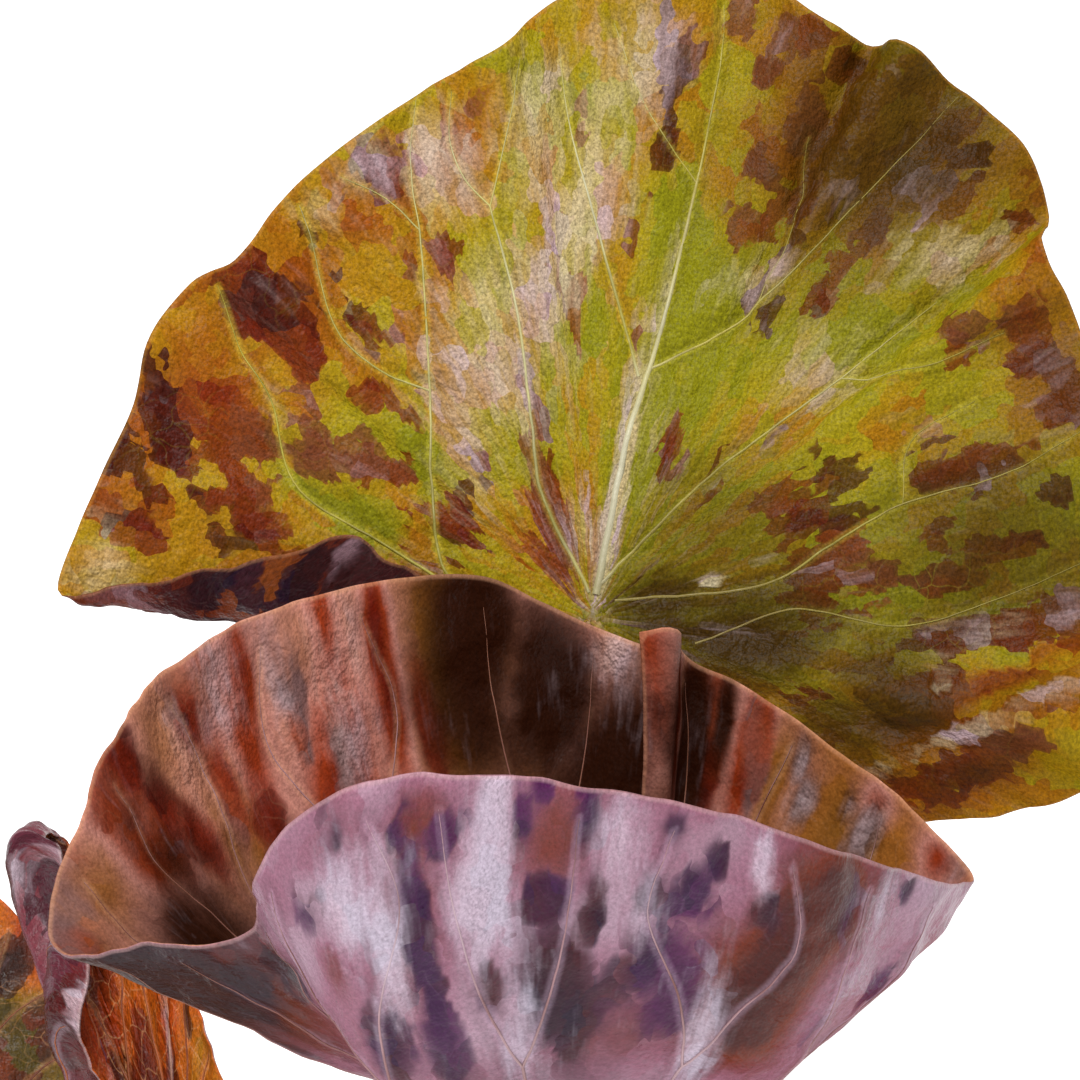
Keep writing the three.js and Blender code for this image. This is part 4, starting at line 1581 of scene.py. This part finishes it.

# The marks of the blades that the picture shows, in millimetres on the blade laid flat; the sheen marks are
# painted sheen and the shade marks painted shade
BACK_UPPER = Marks(
    tone=0.25,
    warm=ovals(
        (-56, 12, 15, 34, 0, 0.42), (-42, 20, 12, 16, 0, 0.18), (-36, 46, 7, 9, 0, 0.2),
        (-43.5, 12.5, 2, 5, 35, -0.4), (-33, 3.5, 7, 1.8, -10, -0.4), (-24.5, 10, 1.8, 8, 25, -0.35),
        (-22, 44, 9, 16, 0, 0.08), (-22.5, 3.5, 1.6, 4, 30, 0.45), (18, 62, 14, 13, 0, 0.44),
        (46, 56, 9, 9, 0, 0.32), (58, 36, 5, 12, 0, 0.32), (-8, 8, 5, 8, 0, 0.35),
        (20, 40, 16, 10, 0, -0.15), (4, 40, 8, 24, 0, -0.25), (38, -2, 14, 5, 0, -0.3),
        (46.3, -12.3, 9.5, 0.9, 21, 0.6), (50, -14.6, 8, 1.4, 18, -0.12),
        (50.2, -8.9, 3.2, 1.2, 15, -0.35), (36, -20, 22, 11, 20, 0.5),
    ),
    stain=ovals(
        (-51, 22.8, 2.6, 4.2, 30, 1.1), (-44, 21.6, 3.4, 3.2, 30, 0.8),
        (-41.5, 18.5, 2.0, 2.4, 30, 1.1), (-36, 25, 1.7, 2.8, 30, 0.85),
        (-40.5, 28.6, 1.5, 1.8, 0, 0.75), (-32.7, 16, 2.2, 2.6, 0, 0.9), (-42, 45, 2.6, 3.2, 20, 0.65),
        (-47, 35, 2.0, 2.4, 30, 0.7), (-26.8, 10.6, 1.6, 2.2, 0, 1.0), (-37.5, 8.7, 2.4, 3.2, 20, 0.85),
        (-44.3, 7.4, 1.8, 2.6, 35, 0.95), (-31.6, 9.6, 1.7, 2.6, 0, 0.95), (-52, 3.6, 1.0, 9, 45, 1.15),
        (-45, 2.6, 0.9, 8, 55, 1.15), (-56.5, 8.5, 1.2, 4.5, 12, 0.85), (-49, 14, 2.6, 3.6, 20, -0.7),
        (-53.8, -4.3, 1.8, 3.2, 20, 1.15), (-60, 3, 1.2, 4.0, 8, 0.7), (-42, -1, 2.4, 3, 30, 0.95),
        (-56, -8, 2.0, 1.8, 0, 0.7), (-24.3, 4.6, 1.3, 3, 30, 0.7), (-18.8, 6.3, 2.0, 3.6, 20, 0.75),
        (-17.7, 15.2, 0.9, 3.6, 10, 0.6), (-33, 53, 0.9, 1.6, 0, 1.0), (-29.8, 37.6, 2.2, 2.2, 0, 0.75),
        (-34.2, 32.8, 1.2, 2.0, 0, 0.65), (-8.5, 12, 1.2, 7, 25, 0.85), (-6, 6, 1.8, 3.0, 30, 0.95),
        (-15.5, 55, 0.9, 6, 8, 0.9), (-15.4, 41, 1.0, 4, 5, 1.1), (-11, 37, 0.9, 4, 10, 0.95),
        (-15.3, 23.5, 0.9, 4, 25, 1.05), (-12.5, 17, 1.0, 4, 30, 1.15), (-9, 11, 1.6, 3, 35, 1.15),
        (7, 21, 1.4, 1.9, 0, 1.0), (-2.6, 67.7, 1.6, 3.6, 0, 0.85), (-2, 59, 1.6, 3.6, 0, 0.75),
        (4.3, 75.4, 2.8, 2.2, 0, 0.95), (16, 74.4, 2.4, 2.2, 0, 1.05),
        (22.8, 71.9, 2.6, 2.0, -20, 0.95), (10.7, 69.4, 2.0, 2.2, 0, 1.0),
        (19.8, 63.6, 1.8, 2.6, -20, 1.4), (18.5, 62.6, 3.2, 2.8, -20, 0.8),
        (21, 53, 2.4, 3.2, -20, 0.85), (13, 51, 4.0, 3.2, -15, 0.8), (12, 57, 1.4, 2.0, 0, 1.0),
        (17, 38.5, 3.0, 2.0, -40, 0.62), (32.2, 47.6, 1.9, 2.4, -30, 1.15),
        (29, 44.5, 2.1, 1.9, -30, 0.85), (26, 40.5, 1.8, 2.0, -30, 0.65), (34.8, 67, 1.6, 1.3, 0, 0.85),
        (36, 58.5, 1.4, 1.4, 0, 0.7), (40.3, 62, 1.9, 1.7, 0, 1.0), (43.8, 57.3, 2.4, 1.9, -20, 1.2),
        (47.3, 59.5, 1.7, 1.7, 0, 1.1), (50.3, 48.2, 3.0, 1.5, -20, 0.65),
        (54.5, 32.2, 1.7, 2.1, 0, 0.9), (45.6, 29, 1.7, 3.5, -8, 0.9), (54.6, 26.9, 1.3, 2.8, 0, 0.85),
        (58, 20.4, 1.9, 2.7, 0, 0.85), (45.5, 13.3, 5.2, 1.8, 12, 1.0), (56, 8.6, 2.1, 1.6, 0, 0.85),
        (30.2, 14.9, 3.0, 3.2, -25, 0.95), (25, 11, 3.0, 2.8, -20, 1.1), (28, 3.6, 2.4, 6.6, -33, 1.3),
        (50, 4, 4.6, 1.7, 12, 1.0), (41.5, 5.5, 1.5, 2.1, 0, 0.75), (41.5, 0.5, 3.2, 1.6, 10, 0.9),
        (34, 1.5, 2.1, 2.4, 0, 0.8), (25, -11, 3.4, 0.9, 25, 0.95), (48, -6, 9, 2.4, 10, 1.1),
        (40.5, -11, 5, 2.2, 50, 1.0), (50.2, -8.9, 3.2, 1.2, 15, -1.4), (50, -14.4, 8, 1.3, 18, -1.2),
        (47, -21.4, 4.4, 1.7, 25, 1.25), (39.6, -25.6, 5, 1.5, 20, 1.05), (30, -27.5, 5, 2, 20, 0.85),
    ),
    painted_sheen=ovals(
        (-14, 47, 5.5, 22, -4, 0.78), (-35, 46, 5, 7, 30, 0.68), (-42.6, 44, 3, 3.4, 20, 0.6),
        (-47, 36, 2.6, 3, 30, 0.6), (-23, 55, 5, 10, 0, 0.68), (-21.5, 34, 6, 8, 0, 0.62),
        (-57, -12, 4, 4.5, 0, 0.75), (0.3, 16, 1.6, 14, 0, 1.15), (-9, 68, 5, 7, 0, 0.6),
        (1.6, 38, 0.9, 11, -4, 0.7), (1.5, 22, 4.0, 12, -4, 0.35), (-34, 32, 10, 12, 20, 0.26),
        (-21, 24, 7, 12, 20, 0.66), (14, 43, 6, 3, 20, 0.5), (28, 31, 10, 6, 20, 0.36),
        (43, 44, 8, 4, 0, 0.45), (47.6, -6.4, 9, 2.2, 10, 0.42), (40.8, -11.4, 5, 1.6, 50, 0.3),
        (43, -19, 14, 1.5, 20, 0.52), (44, -15, 16, 7, 20, -0.3), (15, 3, 0.8, 0.6, 0, 1.6),
        (-4, 10, 2.4, 5, 20, 0.6),
    ),
    net=ovals((20, -6, 14, 7, 0, 0.34), (42, 1, 7, 4, 0, 0.32)),
    shade=ovals(
        (18, -4, 14, 9, 0, 1.2), (33, -10, 10, 7, 0, 1.0), (9, 0, 9, 8, -30, 1.1),
        (30, -21, 9, 5, 20, 0.8), (14, 56.5, 1.6, 3, 0, 0.8), (24, 7, 3, 3, 0, 0.6),
        (42, -25, 12, 3, 20, 0.7), (34, 62, 28, 24, 0, 1.0), (62, 24, 22, 22, 0, 0.62),
        (50, 4, 20, 14, 0, 0.9), (31, -16, 15, 11, 20, 1.05), (46, -15, 14, 9, 20, 0.64),
        (16, 8, 16, 14, -30, 0.75),
    ),
)
BACK_LOWER = Marks(
    tone=0.5,
    warm=ovals((-34, -25.5, 3.6, 5, 0, -0.45), (-52, -19.5, 7, 4, 0, -0.25)),
    stain=ovals(
        (-42, -23.5, 3.2, 3.6, 0, 1.1), (-30.5, -27.5, 1.9, 4, 0, 1.2), (-23, -31, 4, 5, 0, 1.3),
    ),
    painted_sheen=ovals((-27, -28.8, 0.9, 2.0, 0, 0.95), (-54, -20, 6, 2.4, 0, 0.6)),
)
BACK_VEINS = (
    Vein(((0, 3), (0, 12), (0, 21), (1, 29)), 1.2, 0.85),
    Vein(((0, 30), (-10, 46), (-17, 57), (-21, 66)), 0.5, 0.08),
    Vein(((1, 29), (2, 37), (3, 55), (3, 71), (2, 78)), 0.8, 0.1),
    Vein(((-1, 3), (-10, 12), (-14, 20), (-20, 33), (-27, 44)), 0.55, 0.26),
    Vein(((-27, 44), (-31.5, 46.5), (-34.5, 50.5), (-36, 56)), 0.26, 0.06),
    Vein(((-27, 44), (-27.5, 54), (-28, 63)), 0.2, 0.05),
    Vein(((-11, -1), (-18, 0), (-23, 9), (-27, 20), (-34.5, 38)), 0.5, 0.24),
    Vein(((-34.5, 38), (-40, 40.2), (-45.5, 40.6)), 0.22, 0.06),
    Vein(((-34.5, 38), (-38, 45), (-40, 54)), 0.2, 0.05),
    Vein(((-27, 20), (-34.7, 20.5), (-40.9, 24.2), (-45.8, 32), (-49, 36)), 0.28, 0.06),
    Vein(((-18, -1), (-26, 1), (-38, 4), (-44, 12), (-50, 17), (-55, 23)), 0.45, 0.06),
    Vein(((1, 31), (17, 40), (31, 54), (42, 66)), 0.4, 0.06),
    Vein(((0, 4), (12, 16), (21, 23), (30, 29), (42, 38)), 0.5, 0.1),
    Vein(((3, 2), (20, 2), (29, 6), (38, 10), (50, 12), (60, 16)), 0.45, 0.08),
    Vein(((12, -4), (24, -1), (36, -4), (48, -2), (58, 1)), 0.32, 0.06),
    Vein(((3, 55), (-7, 63), (-14, 72)), 0.24, 0.06),
    Vein(((17, 40), (20, 50), (19, 62)), 0.16, 0.05),
    Vein(((30, 29), (41, 27), (52, 30)), 0.2, 0.05),
    Vein(((38, 10), (40, 18), (48, 22)), 0.2, 0.05),
)
FRONT_UPPER = Marks(
    tone=0.44,
    warm=streaks(
        (54, -24, 1.6, 8, 0.36), (50, -31, 1.2, 9, 0.38), (58, -11, 1.4, 4, 0.36),
        (51, -7, 2.2, 7, 0.32), (43, -27, 1.6, 9, 0.4), (41, -16, 3.4, 7, 0.34),
        (36, -12, 4.0, 7, 0.34), (44, -2, 2.2, 6, -0.2), (47, 2.5, 1.4, 4, -0.2),
        (51.5, 19.5, 4, 5, 0.28), (47.6, 13, 2.4, 3, 0.34), (38, -33, 4, 12, -0.3),
        (-19, -45, 1.0, 8, 0.5), (-23.8, -40, 0.8, 9, 0.42), (-28, -37, 1.2, 9, 0.36),
        (-25.6, -36, 1.5, 7, 0.24), (-29, -34, 1.5, 5, -0.2), (-38, -26, 11, 14, -0.2),
        (-39.8, -27, 1.8, 2, 0.45), (-44.3, -19, 2.2, 2, 0.45),
    ) + ovals((47, 26, 4.5, 5, 0, -0.14), (47.5, 17.4, 2.2, 2.6, 0, 0.3), (-15, -51, 3, 8, 0, 0.35)),
    stain=streaks(
        (58, 15, 3, 4, 0.75), (53, 10.5, 3, 4, 0.8), (48, 7, 2.6, 5, 0.8), (50, -1, 2.0, 5, 0.75),
        (45, -5, 3.0, 6, 0.6), (48.7, -14, 1.4, 5, 0.8), (44, -17, 1.2, 5, 0.7),
        (52.5, -17, 1.1, 3, 0.65), (37, -28, 1.4, 6, 0.8), (58, 1, 2.0, 3, 0.6), (50, 21, 2.0, 4, 0.7),
        (-29.2, -38.8, 1.3, 3.6, 1.3), (-21.4, -40, 1.3, 9, 1.25), (-25, -41, 1.0, 8, 1.25),
        (-28.4, -36, 0.9, 6, 1.0),
    ) + ovals((42, 38, 7, 6, 0, 0.7)),
    painted_sheen=streaks(
        (48, -21, 3.4, 10, 0.6), (56, 4, 2.5, 6, 0.5), (58, -6, 3.5, 7, 0.5), (53, -14, 2, 6, 0.45),
        (52, -27, 1.4, 6, 0.5), (-33.2, -34.5, 1.4, 2.6, 0.5), (-31.8, -30.6, 1.7, 3.0, 0.5),
        (-37.6, -25, 1.9, 3.4, 0.5), (-36.8, -28.4, 0.9, 2, 0.5),
    ) + ovals((21.6, -49, 2.3, 2.6, 15, 0.95)),
    shade=streaks(
        (38, -39, 9, 18, 1.3), (28, -40, 9, 14, 1.3), (-17, -43, 3.4, 12, 1.1),
        (-21, -40, 2.6, 12, 1.35), (-25.8, -41, 1.4, 7, 1.25), (-33.2, -34.5, 1.6, 2.8, 1.0),
        (-31.8, -30.6, 1.9, 3.2, 1.0), (-37.6, -25, 2.1, 3.6, 1.0), (-36.8, -28.4, 1.0, 2.2, 0.9),
        (46, 14, 5, 5, 0.9), (-38, -26, 14, 14, 0.25), (41, -14, 5, 5, 0.4),
    ) + ovals(
        (12, -34, 15, 15, 0, 1.4), (2, -18, 26, 24, 0, 1.3), (32, 16, 15, 13, 0, 1.35),
        (52.5, 19, 4, 6, 0, 0.55), (40, 32, 5, 5, 0, 0.6), (28, 2, 13, 14, 0, 1.2),
    ),
)
FRONT_LOWER = Marks(
    tone=0.2,
    warm=streaks(
        (-25.5, 46, 3, 5, 0.55), (-43.6, 15.5, 1.3, 2.2, 0.35), (-38, 18.7, 1.4, 3, 0.35),
        (-14, 57, 3, 3, 0.5), (-19, 24, 4, 6, 0.2), (0, 46, 1.5, 3, 0.35), (6, 36, 3, 4, 0.35),
        (18, 34, 7, 9, 0.4), (-10, 46, 1.6, 8, 0.4),
    ) + ovals(
        (-45, 17.5, 4.8, 5.4, 20, 0.72), (-38.5, 19.5, 4.2, 5.4, 40, 0.7),
        (-31.5, 18, 4.6, 5.4, 40, 0.72), (-26.5, 15.5, 3.6, 4.6, 40, 0.6), (33, 36, 13, 14, 0, 0.45),
    ),
    stain=streaks(
        (-16, 54, 1.6, 2.4, 1.3), (-13, 58.5, 2.0, 1.6, 0.8), (-11, 57, 1.2, 1.5, 0.8),
        (-5, 60, 1.2, 1.5, 0.65), (-27, 51, 1.2, 1.6, 1.1), (-24, 50, 1.2, 2.4, 0.8),
        (-30, 46.5, 1.1, 3, 0.9), (-22, 41, 2.0, 1.6, 1.5), (-25.5, 37, 1.2, 4, 1.1),
        (-18.5, 32, 2.4, 6, 1.4), (-25, 28, 2.8, 3, 1.0), (-24, 23, 1.5, 4, 0.95),
        (-37, 31, 1.5, 1.8, 1.2), (-33, 30.5, 2, 2.8, 1.1), (-36, 37.5, 1.4, 1.6, 0.85),
        (-30, 34, 1.0, 1.0, 0.7), (-37, 24, 1.6, 2, 0.95), (-36.2, 1.3, 1.2, 1.4, 1.2),
        (-47.2, 4.4, 1.0, 1.2, 1.2), (-10, 46, 1.2, 8, 1.1), (-8, 35, 1.6, 7, 1.2), (-3, 34, 2, 4, 0.9),
        (14, 40, 2, 3, 0.9), (2, 52.4, 3, 2, 0.6), (-13, 36, 1.2, 4, 0.7),
    ) + ovals((27, 42, 3.4, 4, 0, 1.1), (22, 34, 3, 5, 0, 1.0), (33, 38, 2.4, 5, 0, 0.9)),
    painted_sheen=streaks(
        (-21.5, 52, 1.8, 7, 1.1), (-17, 46, 2.8, 7, 1.2), (-3.5, 52, 3, 5, 1.0),
        (-6.5, 46, 1.6, 8, 1.0), (-8, 55, 4, 4, 0.55), (-31, 41, 2.4, 5, 0.8), (-28, 33, 1.5, 5, 0.5),
        (-42, 28, 1.0, 2, 1.1), (-40, 27, 1.4, 3, 0.9), (-13, 29, 1.6, 7, 0.7), (-22, 17, 1.6, 8, 0.7),
        (-45.5, 9, 2.2, 5, 0.5), (-36, 6.5, 2.4, 5, 0.4),
    ),
    shade=ovals((34, 34, 18, 17, 0, 1.2), (16, 42, 9, 14, 0, 0.6), (0, 20, 22, 10, 0, 0.7)),
)
CURLED_UPPER = Marks(
    tone=0.66,
    warm=ovals((22, 16, 5, 16, -10, -0.22), (0, 50, 6, 8, 0, -0.1), (0, 26, 10, 9, 0, 0.1)),
    stain=ovals(
        (6, 27, 3.4, 2, 30, 0.95), (-6, 33, 2.4, 3, 0, 0.95), (2, 24, 3, 2.4, 0, 0.95),
        (-8, 27, 2.4, 3, 0, 0.95), (-1, 52, 2, 2, 0, 1.1), (10, 20, 3, 2, 0, 0.8),
        (2, 36, 2, 3, 0, 0.8),
    ),
    painted_sheen=ovals((14, 24, 1.2, 8, -25, 0.9), (-13, 28, 1.4, 9, 10, 0.6)),
    net=ovals((2, 28, 14, 16, 0, 0.45)),
    shade=ovals((-5, 38, 7, 5, 0, 0.7), (-2, 12, 12, 9, 0, 0.8)),
)
CURLED_LOWER = Marks(
    tone=0.4,
    warm=ovals((-22, 46, 3, 4, 0, 0.3), (-33, 22, 5, 14, 10, 0.35), (-27.6, 15, 2.4, 7, 20, 0.5)),
    stain=ovals(
        (-18, 54, 1.3, 5, 35, 1.1), (-15, 50, 2.4, 5, 20, 0.95), (-22, 44, 1.6, 3.6, 20, 0.9),
        (-26, 38, 2, 5, 20, 0.9), (-30, 30, 1.4, 7, 20, 0.8),
    ),
    painted_sheen=ovals(
        (-23, 55, 1.8, 5, 20, 0.95), (-17, 48, 1.4, 2.6, 0, 0.8), (-34, 26, 0.9, 10, 10, 0.9),
        (-26, 50, 1.2, 5, 0, 0.7),
    ),
)
OPEN_UPPER = Marks(
    tone=0.3,
    warm=ovals((27, 27, 5, 5, 0, 0.25), (28, 21, 4, 5, 0, 0.3), (22, 12, 8, 8, 0, -0.3)),
    stain=ovals((22, 22, 3, 3, 0, 0.8), (27, 13, 2.4, 3, 0, 0.9), (19, 8, 3, 3, 0, 0.8)),
    shade=ovals((22, 14, 9, 9, 0, 0.55), (10, 4, 12, 12, 0, 0.4)),
)
PLAIN_UPPER = Marks(tone=0.45, warm=ovals((0, 0, 16, 16, 0, -0.25), (0, 40, 30, 10, 0, 0.15)))
PLAIN_LOWER = Marks(tone=0.35)


def rust_leaf(name: str, form: BladeForm, foot: tuple[float, float], seed: int, **others: object) -> Leaf:
    """Describe a small leaf, orange-red above and plum below.

    Args:
        name: The leaf's name.
        form: How its blade stands.
        foot: Where its stalk leaves the crown.
        seed: What its small heights are drawn from.
        **others: Whatever of it isn't as in the leaves outside the picture.

    Returns:
        The leaf.
    """
    skins = (RUST_UPPER, PLUM_LOWER)
    rest = {"upper": PLAIN_UPPER, "lower": PLAIN_LOWER, "seed": seed} | others
    return Leaf(name, form, foot, skins, "blade_rust", RUST_VEIN, **rest)


# The leaves, from the largest to the ones that lie on the ground
LEAVES = (
    Leaf(
        name="back",
        form=BladeForm((8, 25, 120), 0, 48, BACK_RIBS, 1, (Fold((41, -19), (64, -4), 3.5, 5.5),)),
        foot=(2.5, 3.5),
        skins=(GREEN_UPPER, GREEN_LOWER),
        slot="blade_green",
        vein_finish=PALE_VEIN,
        upper=BACK_UPPER,
        lower=BACK_LOWER,
        veins=BACK_VEINS,
        relief=Relief(0.5, 2.8, 0.32, 9.0, 0.35, 10.0),
        vein_girth=0.5,
        girth=1.0,
        columns=420,
        rows=100,
        seed=11,
    ),
    Leaf(
        name="front",
        form=BladeForm((4, -68, 115), 180, 0, FRONT_RIBS, 12),
        foot=(0.5, -4.5),
        skins=(MAUVE_UPPER, LILAC_LOWER),
        slot="blade_mauve",
        vein_finish=MAUVE_VEIN,
        upper=FRONT_UPPER,
        lower=FRONT_LOWER,
        relief=Relief(0.4, 2.6, 0.3, 11.0, 0.25, 12.0),
        vein_girth=0.5,
        girth=1.0,
        columns=380,
        rows=84,
        seed=23,
    ),
    rust_leaf(
        "left_curled",
        BladeForm((-37, -33, 68), 0, 45, LEFT_CURLED_RIBS, 2, (Fold((-3, 31), (1, 20), 2, 2.5),)),
        foot=(-7, -4.6),
        seed=31,
        upper=CURLED_UPPER,
        lower=CURLED_LOWER,
        relief=Relief(0.35, 2.2, 0.2, 7.0, 0.2, 8.0),
        columns=280,
        rows=64,
    ),
    rust_leaf(
        "left_open",
        BladeForm((-80, -3, 57), 0, 42, LEFT_OPEN_RIBS, 1.5),
        foot=(-8.6, 1.8),
        seed=37,
        upper=OPEN_UPPER,
        lower=Marks(),
        relief=Relief(0.4, 2.4, 0.3, 8.0, 0.25, 8.0),
        columns=260,
        rows=60,
    ),
    rust_leaf(
        "right",
        BladeForm((56, -24, 40), -105, 3, PlainOutline(48, 34, 42, 4, 4, 5, 1.7, 12).ribs(), 1),
        foot=(8.4, -2.6),
        seed=41,
    ),
    rust_leaf(
        "front_left",
        BladeForm(
            (-52, -58, 0), 140, -6, PlainOutline(48, 33, 41, -14, 4, 5, 3.1, 12).ribs(), -3, rests=True
        ),
        foot=(-5, -9.6),
        seed=43,
    ),
    rust_leaf(
        "front_right",
        BladeForm(
            (36, -70, 0), -150, -8, PlainOutline(46, 32, 40, -12, 3.5, 4, 0.9, 13).ribs(), -3, rests=True
        ),
        foot=(4.4, -9.2),
        seed=47,
    ),
    rust_leaf(
        "rear",
        BladeForm((-12, 48, 0), 12, -12, PlainOutline(34, 24, 33, -9, 3, 5, 2.3, 12).ribs(), -2, rests=True),
        foot=(-3.4, 8.8),
        seed=53,
        columns=150,
        rows=38,
    ),
)


@dataclass(frozen=True)
class SoftLight:
    """A soft lamp: a glowing square that faces the plant."""

    name: str
    place: Place
    size: float
    power: float
    aim: Place = (0.0, 0.0, 0.11)

    def hang(self) -> None:
        """Put the lamp in the scene."""
        lamp = bpy.data.lights.new(self.name, "AREA")
        lamp.shape = "SQUARE"
        lamp.size = self.size
        lamp.energy = self.power
        made = show(self.name, lamp)
        made.location = self.place
        away = Vector(self.aim) - Vector(self.place)
        made.rotation_euler = away.to_track_quat("-Z", "Y").to_euler()


@dataclass(frozen=True)
class Studio:
    """The pale floor, the soft light round it and the camera."""

    floor_size: float = 8.0
    floor_gap: float = 0.2
    floor_colour: tuple[float, float, float, float] = (0.93, 0.93, 0.93, 1.0)
    floor_roughness: float = 0.9
    floor_glow: float = 0.45
    sky: float = 0.28
    lights: tuple[SoftLight, ...] = (
        SoftLight("key", (-0.1, -0.1, 1.0), 0.4, 10.4),
        SoftLight("front", (-0.2, -0.85, 0.45), 0.4, 3.6),
        SoftLight("side", (0.9, -0.2, 0.55), 0.6, 1.2),
    )
    camera_place: Place = (0.002, -0.3597, 0.353)
    camera_tilt: float = 60.0
    lens: float = 127.13
    sensor: float = 36.0
    nearest: float = 0.01

    def build(self) -> None:
        """Lay the floor, hang the lights and set the camera."""
        self._floor()
        for light in self.lights:
            light.hang()
        world = bpy.data.worlds.new("sky")
        world.use_nodes = True
        background = world.node_tree.nodes["Background"].inputs
        background["Color"].default_value = WHITE
        background["Strength"].default_value = self.sky
        scene = bpy.context.scene
        scene.world = world
        scene.view_settings.view_transform = "Standard"
        camera = bpy.data.cameras.new("camera")
        camera.lens = self.lens
        camera.sensor_width = self.sensor
        camera.clip_start = self.nearest
        made = show("camera", camera)
        made.location = self.camera_place
        made.rotation_euler = (math.radians(self.camera_tilt), 0.0, 0.0)
        scene.camera = made

    def _floor(self) -> None:
        """Lay the floor under the plant."""
        half = self.floor_size / 2
        mesh = bpy.data.meshes.new("floor")
        ends = [(-half, -half, 0), (half, -half, 0), (half, half, 0), (-half, half, 0)]
        mesh.from_pydata(ends, [], [(0, 1, 2, 3)])
        paper = bpy.data.materials.new("paper")
        paper.use_nodes = True
        shader = paper.node_tree.nodes["Principled BSDF"].inputs
        shader["Base Color"].default_value = self.floor_colour
        shader["Roughness"].default_value = self.floor_roughness
        shader["Specular IOR Level"].default_value = 0.0
        shader["Emission Color"].default_value = WHITE
        shader["Emission Strength"].default_value = self.floor_glow
        mesh.materials.append(paper)
        made = show("floor", mesh)
        made.location.z = -self.floor_gap * MM
        made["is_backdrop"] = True


def corners() -> list[list[float]]:
    """Give the shown object's lowest and highest corner as plain numbers."""
    return [[float(value) for value in corner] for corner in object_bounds()]


def main() -> None:
    """Build the plant's pieces in order, dress them and set the studio up."""
    logging.basicConfig(level=logging.INFO, format="%(name)s: %(message)s")
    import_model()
    dress = Wardrobe()
    tubes = tube_form()
    pieces = [piece for leaf in LEAVES for piece in leaf.build(tubes, dress)]
    pieces += Crown().build(dress)
    for piece in pieces:
        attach(piece, "root")
        LOG.info("%s: %d faces", piece.name, len(piece.data.polygons))
    Studio().build()


if __name__ == "__main__":
    main()
